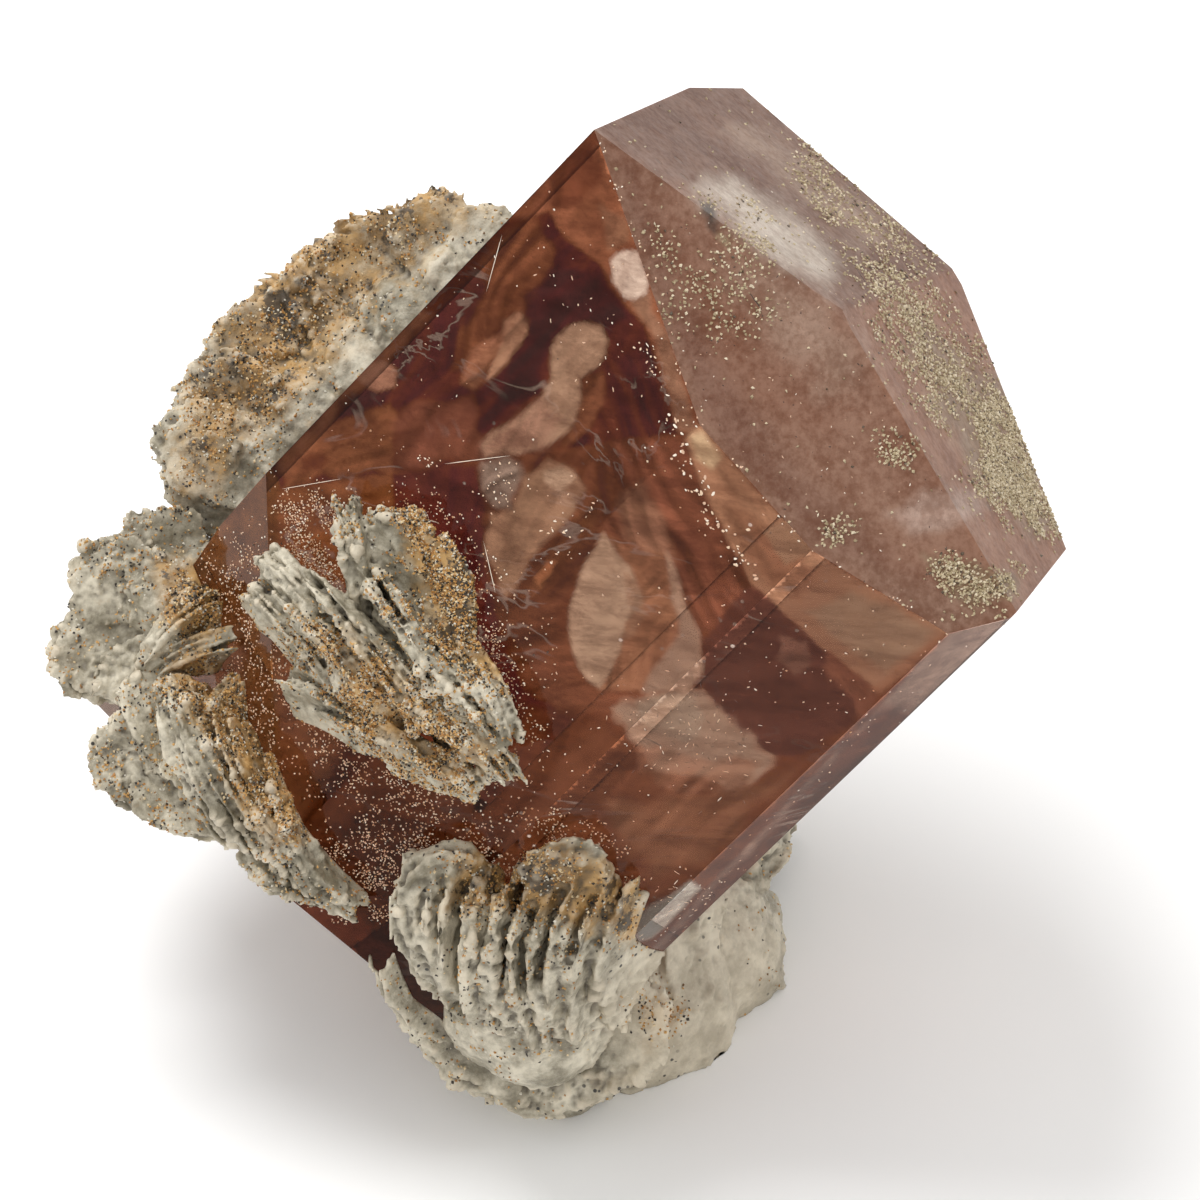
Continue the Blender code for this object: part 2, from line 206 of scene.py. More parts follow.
class Finish:
    """A material under construction."""

    def __init__(self, name):
        self.material = bpy.data.materials.new(name)
        self.material.use_nodes = True
        self.tree = self.material.node_tree
        self.tree.nodes.clear()
        self.out = self.tree.nodes.new("ShaderNodeOutputMaterial")
        self.place = self.node("ShaderNodeTexCoord", {}, ()).outputs["Object"]

    def node(self, kind, settings, values):
        node = self.tree.nodes.new(kind)
        for key, value in settings.items():
            if key == "stops":
                ramp = node.color_ramp
                while len(ramp.elements) < len(value):
                    ramp.elements.new(0.5)
                for element, (position, colour) in zip(ramp.elements, value):
                    element.position, element.color = position, (*colour, 1)
            else:
                setattr(node, key, value)
        pairs = values.items() if isinstance(values, dict) else enumerate(values)
        for key, value in pairs:
            socket = node.inputs[key]
            if isinstance(value, Strand):
                self.tree.links.new(value.socket, socket)
            elif isinstance(value, bpy.types.NodeSocket):
                self.tree.links.new(value, socket)
            elif isinstance(value, (tuple, list)) and socket.type == "RGBA":
                socket.default_value = (*value, 1)
            else:
                socket.default_value = value
        return node

    def add(self, kind, settings, values, output=0):
        return Strand(self, self.node(kind, settings, values).outputs[output])

    def noise(self, scale, detail=4.0, roughness=0.5, distortion=0.0, stretch=None):
        """Cloudy noise over the object, its scale in clouds for each metre."""
        place = self.place
        if stretch:
            place = self.node("ShaderNodeMapping", {}, {"Vector": place, **stretch}).outputs[0]
        return self.add("ShaderNodeTexNoise", {}, {
            "Vector": place, "Scale": scale, "Detail": detail,
            "Roughness": roughness, "Distortion": distortion,
        })

    def specks(self, scale, size):
        """Small round specks, one in each cell."""
        cells = self.add("ShaderNodeTexVoronoi", {}, {"Vector": self.place, "Scale": scale})
        return 1 - cells.rise(size * 0.6, size)

    def blend(self, amount, first, second, mode="MIX"):
        """Colour first where amount is 0 and second where it is 1."""
        node = self.node(
            "ShaderNodeMix", {"data_type": "RGBA", "blend_type": mode},
            {0: amount, 6: first, 7: second},
        )
        return Strand(self, node.outputs[2])

    def painted(self, name, output="Color"):
        node = self.node("ShaderNodeAttribute", {"attribute_name": name}, {})
        return Strand(self, node.outputs[output])

    def bump(self, height, distance, strength):
        values = {"Height": height, "Distance": distance, "Strength": strength}
        return self.add("ShaderNodeBump", {}, values)

    def surface(self, **values):
        names = {name.replace("_", " "): value for name, value in values.items()}
        shader = self.node("ShaderNodeBsdfPrincipled", {}, names)
        self.tree.links.new(shader.outputs[0], self.out.inputs["Surface"])


def tone(red, green, blue):
    """A colour as the eye names it, 0 to 255, made linear for the shaders."""
    def line(value):
        value /= 255
        return value / 12.92 if value <= 0.04045 else ((value + 0.055) / 1.055) ** 2.4
    return line(red), line(green), line(blue)


paper = Finish("white_paper")
paper.surface(
    Base_Color=paper.blend(paper.noise(30, 2), (0.93, 0.93, 0.93), (0.96, 0.96, 0.955)),
    Roughness=0.9,
    Specular_IOR_Level=0.1,
)
floor_mesh.materials.append(paper.material)
print("a finish is ready:", paper.material.name)

# %% [markdown]
# ## The crystal's skin
# A topaz has only a few flat faces, and everything fine on this one is paint: veils, painted
# reflections and painted shade just under the front, frosting and a painted sheen on the end
# faces. Paint needs points to sit on, so each flat face is filled with a close grid of them. The
# edges are cut first, the same for both faces that share them, and a flat triangulation joins
# edge points and grid points, so the skin stays closed.

# %% The crystal's skin
EDGE_EASE = 0.10
FRONT_STEP = 0.18
END_STEP = 0.34
HIDDEN_STEP = 1.2
TURNED_AWAY = 0.15
ROW_GAP = 0.866
RIM_GAP = 0.4
JOINED = 2e-3
SLANT, FORWARD = math.radians(45), math.radians(35)
ALONG = Vector((
    math.cos(SLANT) * math.cos(FORWARD), math.sin(SLANT) * math.cos(FORWARD), math.sin(FORWARD)
))
DOWN = Vector((0, -math.sin(LOOK_DOWN), -math.cos(LOOK_DOWN)))
BEHIND = Vector((-0.7, 0.7, -0.12))
BESIDE = (Vector((0.73, -0.06, -0.68)), Vector((-0.43, -0.34, -0.83)))
# How nearly a face has to look each way: the cosine of the angle between them.
END_LOOK, FOOT_LOOK, SIDE_LOOK, BACK_LOOK = 0.5, 0.99, 0.97, 0.93
CLEAR, END, FOOT, FROSTED_SIDE, FROSTED_BACK = range(5)


def region_of(normal):
    """The kind of face that looks that way."""
    if normal.dot(ALONG) > END_LOOK:
        return END
    if normal.dot(DOWN) > FOOT_LOOK:
        return FOOT
    if max(normal.dot(way) for way in BESIDE) > SIDE_LOOK:
        return FROSTED_SIDE
    return FROSTED_BACK if normal.dot(BEHIND) > BACK_LOOK else CLEAR


def merged_solid(node):
    """A CAD node's solid in the viewing frame, its loose triangles joined."""
    bm = bmesh.new()
    bm.from_mesh(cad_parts[node].data)
    bm.transform(WORLD_TO_VIEW)
    bmesh.ops.remove_doubles(bm, verts=bm.verts, dist=1e-3)
    bmesh.ops.dissolve_limit(bm, angle_limit=math.radians(0.5), verts=bm.verts, edges=bm.edges)
    return bm


def fill_face(loop, normal, step):
    """Triangles over one flat face, through its edge points and a grid inside it."""
    origin = loop[0]
    side = (loop[1] - loop[0]).normalized()
    up = normal.cross(side)
    flat = np.array([((p - origin).dot(side), (p - origin).dot(up)) for p in loop])
    low, high = flat.min(0), flat.max(0)
    xs = np.arange(low[0] + step / 2, high[0], step)
    ys = np.arange(low[1] + step / 2, high[1], step * ROW_GAP)
    grid = np.array([
        (x + (row % 2) * step / 2, y) for row, y in enumerate(ys) for x in xs
    ]).reshape(-1, 2)
    keep = np.ones(len(grid), bool)
    for start, end in zip(flat, np.roll(flat, -1, axis=0)):
        edge = (end - start) / max(1e-9, np.linalg.norm(end - start))
        inside = edge[0] * (grid[:, 1] - start[1]) - edge[1] * (grid[:, 0] - start[0])
        keep &= inside > step * RIM_GAP
    points = [Vector(p) for p in np.vstack((flat, grid[keep]))]
    ring = list(range(len(flat)))
    flat_points, _, faces = delaunay_2d_cdt(points, [], [ring], 1, 1e-6)[:3]
    return [origin + side * p.x + up * p.y for p in flat_points], faces


def step_of(face):
    """How far apart the points on a face lie."""
    if face.normal.z < TURNED_AWAY:
        return HIDDEN_STEP
    return END_STEP if region_of(face.normal) == END else FRONT_STEP


def crystal_skin():
    """The whole skin, closed, with each face's region kept on its triangles."""
    bm = merged_solid("topaz_crystal")
    bmesh.ops.bevel(
        bm, geom=bm.edges[:], offset=EDGE_EASE, segments=1, affect="EDGES", clamp_overlap=True
    )
    bm.normal_update()
    rails = {}
    for edge in bm.edges:
        step = min(step_of(face) for face in edge.link_faces)
        count = max(1, round(edge.calc_length() / step))
        start, end = (v.co.copy() for v in edge.verts)
        rails[edge] = [start.lerp(end, i / count) for i in range(count + 1)]
    skin = bmesh.new()
    region = skin.faces.layers.int.new("region")
    for face in bm.faces:
        loop = []
        for corner in face.loops:
            rail = rails[corner.edge]
            loop += (rail if corner.vert.co == rail[0] else rail[::-1])[:-1]
        points, faces = fill_face(loop, face.normal, step_of(face))
        verts = [skin.verts.new(p) for p in points]
        for triangle in faces:
            skin.faces.new([verts[i] for i in triangle])[region] = region_of(face.normal)
    bm.free()
    bmesh.ops.remove_doubles(skin, verts=skin.verts, dist=JOINED)
    loose = [edge for edge in skin.edges if not edge.link_faces]
    bmesh.ops.delete(skin, geom=loose, context="EDGES")
    bmesh.ops.recalc_face_normals(skin, faces=skin.faces)
    return skin


skin = crystal_skin()
print("crystal skin:", len(skin.verts), "points,", len(skin.faces), "triangles, open edges:",
      sum(1 for edge in skin.edges if not edge.is_manifold))

# %% [markdown]
# ## Painting what is seen in the stone
# Veils and healed cracks give the front some of its dark and pale shapes; the others are painted
# reflections of the back faces and painted shade where the way through the stone ends in shadow.
# Each is a soft-edged shape with its own colour, laid over the last one. Its rim is pushed about
# by cloudy noise, because no crack in a stone has a drawn outline. The result is stored on the
# skin's points as an attribute that the finish reads.

# %% Noise and soft shapes
LATTICE = 32
SHIFT, SEED_SHIFT = 71.3, 3.7
FINER, WEAKER = 0.5, 0.55


def cloud(points, size, seed=0, stretch=(1, 1, 1)):
    """Soft noise from 0 to 1 at each point, its clouds about that size."""
    lattice = np.random.default_rng(seed).random((LATTICE,) * 3)
    place = np.asarray(points, float) / (np.array(stretch) * size) + SHIFT + seed * SEED_SHIFT
    cell = np.floor(place).astype(int)
    part = place - cell
    part = part * part * (3 - 2 * part)
    total = np.zeros(len(place))
    for corner in np.ndindex(2, 2, 2):
        weight = np.prod(np.where(corner, part, 1 - part), axis=1)
        at = (cell + np.array(corner)) % LATTICE
        total += weight * lattice[at[:, 0], at[:, 1], at[:, 2]]
    return total


def clouds(points, size, seed=0, layers=3, stretch=(1, 1, 1)):
    """Noise with finer noise on top of it."""
    total, weight = 0.0, 0.0
    for layer in range(layers):
        share = WEAKER ** layer
        total = total + cloud(points, size * FINER ** layer, seed + layer, stretch) * share
        weight += share
    return total / weight


def inside_shape(spots, outline, soft):
    """1 inside an outline of picture points, 0 outside, soft pixels between."""
    outline = np.array(outline, float)
    near = np.full(len(spots), 1e9)
    crossings = np.zeros(len(spots), bool)
    for start, end in zip(outline, np.roll(outline, -1, axis=0)):
        way = end - start
        length = max(1e-9, way @ way)
        along = np.clip(((spots - start) @ way) / length, 0, 1)
        near = np.minimum(near, np.linalg.norm(spots - start - along[:, None] * way, axis=1))
        if start[1] != end[1]:
            over = (start[1] > spots[:, 1]) != (end[1] > spots[:, 1])
            reach = start[0] + (spots[:, 1] - start[1]) * way[0] / way[1]
            crossings ^= over & (spots[:, 0] < reach)
    signed = np.where(crossings, near, -near)
    share = np.clip(signed / soft * 0.5 + 0.5, 0, 1)
    return share * share * (3 - 2 * share)


print("noise and soft shapes are ready")

# %% The shapes seen through the front
# Each shape: its name, colour, strength, softness and waver in pixels, the slope of its streaks
# in degrees and their depth, then its outline.
FRONT_GROUND = (112, 64, 46)
# Painted light and shade among these shapes: the pale windows, the strip along the end edge,
# core_bright, glow_streak, lower_glow and quad_glints are painted reflections and light seen
# through the back and end faces, and the dark shapes and the shade shapes are painted shade.
FRONT_SHAPES = named_rows("""
upper_band 144,88,64 0.95 5 4 70 0.25 500,212 595,125 650,250 700,428 678,435 661,376 645,323
  631,313 611,286 601,266 568,240 555,226 547,210 530,216
upper_band_shade 100,54,40 0.8 6 6 60 0.3 548,175 590,140 604,175 575,205 552,208
upper_band_tan 150,104,80 0.8 4 4 60 0.2 598,205 622,215 628,240 606,250
under_cream 150,108,86 0.9 4 4 80 0.2 628,300 648,292 668,340 697,425 679,434 662,376 650,330
dark_zone 84,42,30 1 3 3 62 0.35 500,221 530,217 547,210 555,226 568,240 601,266 611,286 631,313
  645,323 661,376 678,435 625,439 539,452 466,464 393,472 268,490 262,470 340,388 420,305
left_band 140,88,64 0.75 5 5 48 0.2 276,462 330,398 372,352 420,300 432,312 372,378 320,440
  286,476
swirl_left 128,78,54 0.9 4 10 35 0.45 284,454 316,435 359,422 389,400 398,422 398,466 350,474
  284,486
swirl_left_hole 104,56,42 0.8 5 8 20 0.3 296,456 320,446 330,456 316,470 298,470
ripples 122,72,56 0.85 6 8 70 0.35 396,424 420,404 470,400 486,440 480,460 398,468
peach_blob 162,112,90 0.95 3 3 0 0.05 359,379 363,366 383,361 396,372 393,386 376,390
deep_left 66,32,26 0.8 6 8 60 0.3 352,392 372,392 380,400 350,420 334,418 338,402
fan_upper 124,74,52 0.8 7 9 64 0.55 478,262 505,226 540,222 552,250 536,300 500,330 470,372
  452,372 456,320
fan_dark 70,34,28 0.8 6 8 64 0.3 470,262 480,240 486,262 468,330 448,366 444,340
pale_finger 168,122,96 0.95 3 4 62 0.35 505,323 518,312 528,318 526,332 512,356 495,378 488,382
  496,358
pale_finger_side 150,98,74 0.85 4 5 62 0.55 474,352 500,332 500,344 488,372 474,390 464,384
dark_heart 64,32,28 0.85 5 7 40 0.3 526,300 552,262 600,276 628,316 612,324 585,322 556,336
  548,362 536,392 512,400 496,396 516,360 530,330
seahorse 166,128,104 0.97 3 4 50 0.12 558,336 570,326 585,322 600,325 608,338 606,352 596,367
  578,377 583,402 570,429 549,446 515,455 484,457 482,445 490,434 515,419 539,396 551,378 549,359
seahorse_low 150,106,88 0.7 8 6 50 0.2 484,457 482,445 515,420 545,400 560,420 540,448
beside_seahorse 118,72,52 0.85 4 6 58 0.5 583,384 600,372 606,400 590,432 566,448 552,448 572,428
right_fan 92,48,38 0.9 5 6 -66 0.5 606,360 640,350 661,390 676,434 625,439 598,442 590,436 607,400
below_line 122,72,48 1 3 3 20 0.25 268,492 393,474 396,530 380,640 300,850 268,860
below_line_dark 86,42,28 1 4 4 70 0.2 394,473 466,465 488,462 486,500 490,560 500,610 560,700
  540,790 430,880 280,850 330,780 395,640
core_dark 100,58,42 0.95 4 6 55 0.4 488,460 539,453 625,440 640,470 604,528 575,580 540,640
  505,628 488,580 482,520
core_grey 142,118,104 0.85 5 7 50 0.5 486,466 512,460 522,478 512,508 496,504 486,490
pale_core 154,114,90 0.97 4 5 55 0.2 525,479 549,462 573,470 582,489 568,518 549,542 532,558
  515,588 502,598 494,578 486,535 490,514 512,508
core_bright 188,152,126 0.9 4 4 50 0.15 546,470 562,466 572,476 560,492 548,486
core_band 112,68,48 0.85 4 5 50 0.45 584,490 600,500 598,524 560,566 530,600 520,598 548,556
  570,520
glow_streak 182,116,80 0.9 3 3 52 0.3 534,580 548,562 558,560 552,574 540,588
right_dark 122,72,54 1 4 5 -60 0.5 596,444 668,436 678,436 694,465 711,508 728,541 756,584 701,638
  690,618 678,571 664,548 640,560 612,536 602,528 622,490
right_dark_tan 150,104,82 0.8 6 6 -62 0.5 612,500 640,480 662,520 676,560 652,560 626,540
leaf_side 142,94,70 1 3 3 75 0.35 602,532 636,552 662,552 676,595 680,634 658,664 640,690 598,692
  610,640
leaf_window 172,136,112 1 2.5 2.5 80 0.1 602,532 616,552 630,568 640,590 642,606 626,622 620,648
  611,670 598,690 586,680 577,666 568,638 570,608 582,574
leaf_shade 146,106,84 0.75 3 4 60 0.3 622,566 642,590 644,612 628,640 618,640 628,610 626,590
second_window 170,132,110 0.97 3 3 -75 0.2 665,551 678,571 686,608 699,631 705,671 691,688 641,692
  658,664 678,634 674,595
under_windows 112,66,48 0.95 5 6 10 0.4 500,610 545,600 570,642 582,676 598,692 640,692 700,690
  660,706 620,716 560,710 520,680
strip_tan 174,124,96 1 3 4 -52 0.25 684,436 700,426 811,549 948,633 878,692 826,652 758,588
  728,541 711,508 694,465
strip_cream 204,170,134 0.9 4 3 -52 0.15 690,436 702,432 720,456 712,468 696,456
strip_pale 182,142,114 0.85 5 5 -40 0.2 806,614 850,592 904,612 934,634 884,674 850,648
strip_shade 138,92,70 0.8 6 6 -50 0.3 722,500 760,520 820,570 800,600 770,590 738,548
dark_quad 98,58,48 1 3 3 -30 0.15 703,640 744,588 757,588 826,652 878,692 862,730 828,757 770,756
  730,726 704,690
rough_patch 184,144,120 0.95 5 9 15 0.35 618,706 645,694 700,690 736,728 776,758 748,790 700,782
  650,770 628,740
lower_front 110,64,46 1 5 5 45 0.2 500,840 560,760 600,718 632,744 652,772 742,792 870,712 650,945
  500,1063 380,972
lower_left_front 96,52,36 1 8 6 60 0.2 280,848 430,700 560,712 600,718 500,840 383,972
lower_glow 124,82,61 0.75 10 9 45 0.3 610,806 700,796 790,770 720,850 650,880
quad_glints 134,92,76 0.8 3 9 20 0.5 776,636 800,640 812,668 790,678 772,660
quad_rim 124,76,58 0.8 3 5 -50 0.4 826,652 878,692 862,730 850,738 856,700 822,668
strip_step 190,144,114 0.8 2 2 40 0.2 764,532 790,516 812,548 786,566
strip_low 146,98,74 0.8 2 3 -40 0.3 868,690 932,640 946,636 882,692
rough_brown 128,84,64 0.7 4 9 30 0.5 640,742 700,760 760,760 740,800 680,792 640,770
rough_light 206,170,144 0.7 4 9 10 0.5 640,702 676,694 706,716 690,742 652,736
narrow_face 160,128,112 0.95 3 2 45 0.2 948,633 1018,609 1011,622 652,978 600,1010 660,940
narrow_low 92,52,40 0.95 8 4 45 0.3 880,704 920,712 680,955 650,955
striated 186,172,158 0.95 3 3 45 0.45 636,918 692,884 702,890 652,938 640,940
left_side 114,70,44 1 3 3 60 0.2 265,455 277,480 280,850 268,885 80,712
left_triangle 188,156,138 0.95 3 3 30 0.1 84,711 145,655 182,712 140,745
left_shade 136,92,74 0.9 5 5 40 0.2 150,660 205,632 245,648 240,700 190,710
foot_red 124,64,48 0.85 7 6 45 0.2 200,800 275,860 400,950 385,985 270,885
cream_patch 222,192,172 1 2.5 2 60 0.08 611,261 617,254 626,250 638,251 644,268 649,284 645,293
  634,299 625,298 613,281
""")
print(len(FRONT_SHAPES), "shapes lie in the front")

# %% The shapes on the end faces
# upper_face is painted darker and right_face lighter: painted shade and painted light on two
# faces of the same etched stone.
END_GROUND = (157, 109, 85)
# The pale patches below the ridge, frost with its top and tail, are frosting with the lamp's
# sheen painted on them.
END_SHAPES = named_rows("""
upper_face 128,86,63 0.85 5 3 -38 0.06 595,128 690,86 743,86 955,268 845,312
right_face 172,118,88 0.85 5 3 -60 0.06 955,268 1070,549 1016,612 850,328 845,310
near_ridge 172,130,108 0.6 30 12 -50 0.08 640,170 720,190 840,300 900,420 860,440 760,330 690,260
rim_shade 140,98,80 0.7 18 8 -50 0.06 600,140 630,170 700,330 800,470 900,570 1000,612 948,636
  811,549 700,425
rim_line 176,138,116 0.5 5 2 -50 0 596,130 604,134 706,418 818,542 1000,612 1016,612 948,634
  811,549 700,425
frost 238,226,210 0.95 18 12 -38 0.12 700,190 735,182 800,215 842,262 828,285 790,268 740,232
frost_top 200,172,150 0.55 14 12 -38 0.12 720,130 770,130 850,190 900,240 860,240 790,190
frost_tail 204,176,156 0.55 26 14 -50 0.1 740,270 800,290 860,360 830,390 770,340
low_haze 182,144,122 0.35 34 14 -50 0.06 760,430 850,440 960,520 920,560 800,510
pale_patch 220,190,174 0.8 8 10 -10 0.15 888,512 925,494 985,494 975,520 915,540
crust_ground 170,148,120 0.7 12 12 -60 0.2 900,300 960,350 1020,400 1064,530 1040,535 990,500
  940,420
crust_low 160,138,108 0.75 6 8 0 0.2 925,556 960,562 1015,572 1010,592 975,608 940,585
smudge 54,46,42 0.95 3 6 -60 0.3 700,198 712,204 724,230 714,230 704,214
smudge_cream 206,186,150 0.9 3 4 0 0.1 716,234 730,238 730,246 718,244
""")
print(len(END_SHAPES), "shapes lie on the end faces")

# %% Lay the paint
STONE_IOR = 1.62
LIGHT_BEHIND = {
    CLEAR: (0.86, 0.67, 0.575),
    FROSTED_SIDE: (0.295, 0.20, 0.157),
    FROSTED_BACK: (0.42, 0.30, 0.25),
}
FRONT_GLOSS = np.array((0.003, 0.007, 0.010))
BROKEN_FOOT = np.array((0.98, 0.86, 0.76))
HIDDEN = np.array((0.78, 0.60, 0.50))
AROUND = ((0, 0), (0.11, 0), (-0.11, 0), (0, 0.11), (0, -0.11))
SEEN = 0.03
SKIN_DEEP = 0.01
REACH = 60
PUSH_CLOUDS = 26
BEND_CLOUDS, BEND = 70, 50
STREAK_LENGTH, STREAK_CLOUDS = 11, 9
DARKEST = 0.02


def light_behind(points, normals):
    """The light that comes up through the front at each point, by the back face it crosses."""
    look = points - np.array((0, 0, DISTANCE))
    look /= np.linalg.norm(look, axis=1)[:, None]
    facing = -np.sum(look * normals, axis=1)
    root = np.sqrt(np.maximum(0, 1 - (1 - facing ** 2) / STONE_IOR ** 2))
    inward = look / STONE_IOR + (facing / STONE_IOR - root)[:, None] * normals
    solid = merged_solid("topaz_crystal")
    solid.normal_update()
    nearest, light = np.full(len(points), 1e9), np.tile(LIGHT_BEHIND[CLEAR], (len(points), 1))
    for face in solid.faces:
        out = np.array(face.normal)
        speed = inward @ out
        way = (np.array(face.verts[0].co) @ out - points @ out) / np.maximum(speed, 1e-9)
        first = (speed > 1e-6) & (way > SKIN_DEEP) & (way < nearest)
        nearest[first] = way[first]
        light[first] = LIGHT_BEHIND.get(region_of(face.normal), LIGHT_BEHIND[CLEAR])
    solid.free()
    return light


def streaks(spots, slope, seed):
    """Long fine marks on the picture at a slope, from -1 to 1."""
    angle = math.radians(slope)
    along = spots[:, 0] * math.cos(angle) - spots[:, 1] * math.sin(angle)
    across = spots[:, 0] * math.sin(angle) + spots[:, 1] * math.cos(angle)
    flat = np.stack((spots[:, 0], spots[:, 1], 0 * along), 1)
    bend = (cloud(flat, BEND_CLOUDS, seed + 1) - 0.5) * BEND
    drawn_out = np.stack((along / STREAK_LENGTH, across + bend, 0 * along), 1)
    return np.clip((clouds(drawn_out, STREAK_CLOUDS, seed) - 0.5) * 4, -1, 1)


def lay_shapes(points, ground, shapes, noise_seed):
    """The colour at each point after every shape is laid over the ground."""
    spots = to_picture(points)
    colour = np.tile(np.array(tone(*ground)), (len(points), 1))
    for index, (_, shade, strength, soft, waver, slope, depth, *outline) in enumerate(shapes):
        rim = np.array(outline)
        near = np.all((spots > rim.min(0) - REACH) & (spots < rim.max(0) + REACH), axis=1)
        if not near.any():
            continue
        here = np.stack((*spots[near].T, np.zeros(near.sum())), axis=1)
        push = np.stack([
            clouds(here, PUSH_CLOUDS, noise_seed + index * 7 + axis * 3) - 0.5
            for axis in (0, 1)
        ], axis=1) * waver * 3
        share = inside_shape(spots[near] + push, outline, soft)[:, None] * strength
        marks = 1 + depth * streaks(spots[near], slope, noise_seed + index)[:, None]
        colour[near] = colour[near] * (1 - share) + np.array(tone(*shade)) * marks * share
    return colour


def paint_skin(skin):
    """The skin's points, their normals and the colour painted at each, painted reflections and
    shade included.
    """
    skin.verts.ensure_lookup_table()
    skin.normal_update()
    points = np.array([v.co[:] for v in skin.verts])
    normals = np.array([v.normal[:] for v in skin.verts])
    region_layer = skin.faces.layers.int["region"]
    touches = [{face[region_layer] for face in v.link_faces} for v in skin.verts]
    on_end = np.array([END in regions for regions in touches])
    on_foot = np.array([FOOT in regions or FROSTED_SIDE in regions for regions in touches])
    veil = clouds(points, 5.0, 11, 4)
    swirl = clouds(points, 2.2, 23, 3, (1, 2.5, 1))
    colour = HIDDEN * (0.7 + 0.4 * veil + 0.2 * swirl)[:, None]
    front = (normals[:, 2] > SEEN) & ~on_end
    laid = lay_shapes(points[front], FRONT_GROUND, FRONT_SHAPES, 100)
    behind = np.max([
        light_behind(points[front] + np.array((x, y, 0)), normals[front]) for x, y in AROUND
    ], axis=0)
    share = (laid - FRONT_GLOSS) / behind
    share /= np.maximum(share.max(axis=1), 1)[:, None]
    colour[front] = np.clip(share, DARKEST, 1) ** 2
    colour[on_end] = lay_shapes(points[on_end], END_GROUND, END_SHAPES, 300)
    colour[on_foot] = BROKEN_FOOT * (0.62 + 0.45 * veil + 0.2 * swirl)[on_foot, None]
    return points, normals, np.clip(colour, 0, 1)


skin_points, skin_normals, skin_colour = paint_skin(skin)
print("painted", len(skin_points), "points")

# %% Placing a piece
def as_piece(bm, name, finishes, smooth=False):
    """A finished mesh of the viewing frame, set in its place and riding on the specimen."""
    bm.transform(VIEW_TO_WORLD)
    mesh = bpy.data.meshes.new(name)
    bm.to_mesh(mesh)
    bm.free()
    for finish in finishes:
        mesh.materials.append(finish.material)
    if smooth:
        mesh.shade_smooth()
    piece = put(name, mesh)
    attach(piece, "root")
    return piece


def store(mesh, name, values):
    """Keeps a number or a colour for each point of a mesh."""
    kind = "FLOAT_COLOR" if values.ndim == 2 else "FLOAT"
    layer = mesh.attributes.new(name, kind, "POINT")
    if kind == "FLOAT_COLOR":
        values = np.hstack((values, np.ones((len(values), 1))))
        layer.data.foreach_set("color", values.astype(np.float32).ravel())
    else:
        layer.data.foreach_set("value", values.astype(np.float32))


print("pieces can be placed")

# %% [markdown]
# ## Stone that light goes through
# The prism's faces are glassy, its ends are etched dull and some hidden faces are frosted. Colour
# alone would look like painted plaster, so all three finishes let light through with topaz's
# index of refraction, and a thin absorption deepens the brown where its way in the stone is long.

# %% The finishes of the stone
GLASSY = {"Transmission_Weight": 1.0, "IOR": STONE_IOR}
HALF_GLASSY = {"Transmission_Weight": 0.5, "IOR": STONE_IOR}
BROWN_DEPTH = {"Color": (0.76, 0.60, 0.50), "Density": 20.0}


def fill_with_stone(finish):
    """The reddish brown depth of the stone, which grows with the way that light has in it."""
    depth = finish.node("ShaderNodeVolumeAbsorption", {}, BROWN_DEPTH)
    finish.tree.links.new(depth.outputs[0], finish.out.inputs["Volume"])


def marked(finish, slope, scale):
    """The painted colour with fine streaks, hairlines and painted glints as bright specks in it.
    """
    lean = {"Rotation": (LOOK_DOWN, 0, math.radians(slope)), "Scale": (0.2, 1, 1)}
    streak = finish.noise(scale, 6, 0.7, 0.3, lean).rise(0.36, 0.62)
    body = finish.blend(
        1.0, finish.painted("stone"), finish.blend(streak, (0.45, 0.39, 0.37), (1, 1, 1)),
        "MULTIPLY",
    )
    ridge = finish.noise(scale * 0.3, 4, 0.6, 0.8, lean) - 0.5
    hair = ridge.work("ABSOLUTE", ridge) * -70 + 1
    hair = hair.rise(0.0, 1.0) * finish.noise(scale * 0.25, 2).rise(0.5, 0.62)
    body = finish.blend(hair * 0.06, body, (0.62, 0.46, 0.36))
    painted_glints = finish.specks(scale * 1.5, 0.13) * finish.noise(190, 3).rise(0.56, 0.64)
    return finish.blend(painted_glints * 0.5, body, (0.95, 0.9, 0.85))


clear_stone = Finish("clear_topaz")
clear_stone.surface(
    Base_Color=marked(clear_stone, 58, 700),
    Roughness=clear_stone.noise(900, 3).rise(0.5, 0.9) * 0.10 + 0.02,
    Specular_Tint=(0.10, 0.08, 0.07),
    **GLASSY,
)
fill_with_stone(clear_stone)

etched_stone = Finish("etched_topaz")
mottle = etched_stone.noise(350, 5, 0.65) * 0.5 + etched_stone.noise(2600, 3, 0.7) * 0.5
pits = etched_stone.specks(520, 0.16) * etched_stone.noise(240, 2).rise(0.52, 0.62)
etched_colour = etched_stone.blend(
    mottle.rise(0.36, 0.64),
    etched_stone.blend(1.0, etched_stone.painted("stone"), (0.64, 0.58, 0.55), "MULTIPLY"),
    etched_stone.blend(1.0, etched_stone.painted("stone"), (0.08, 0.07, 0.06), "SCREEN"),
)
etched_stone.surface(
    Base_Color=etched_stone.blend(pits * 0.6, etched_colour, (0.22, 0.14, 0.10)),
    Roughness=etched_stone.noise(1500, 3) * 0.3 + 0.4,
    Specular_Tint=(0.22, 0.18, 0.16),
    Normal=etched_stone.bump(etched_stone.noise(600, 7, 0.68) + pits * -0.5, 0.00022, 0.6),
    **HALF_GLASSY,
)
fill_with_stone(etched_stone)

frosted_stone = Finish("frosted_topaz")
frosted_stone.surface(
    Base_Color=frosted_stone.painted("stone"),
    Roughness=frosted_stone.noise(1500, 3) * 0.2 + 0.45,
    Specular_Tint=(0.45, 0.38, 0.34),
    Normal=frosted_stone.bump(frosted_stone.noise(600, 4, 0.6), 0.0001, 0.4),
    **GLASSY,
)
fill_with_stone(frosted_stone)

print("the stone has three finishes")

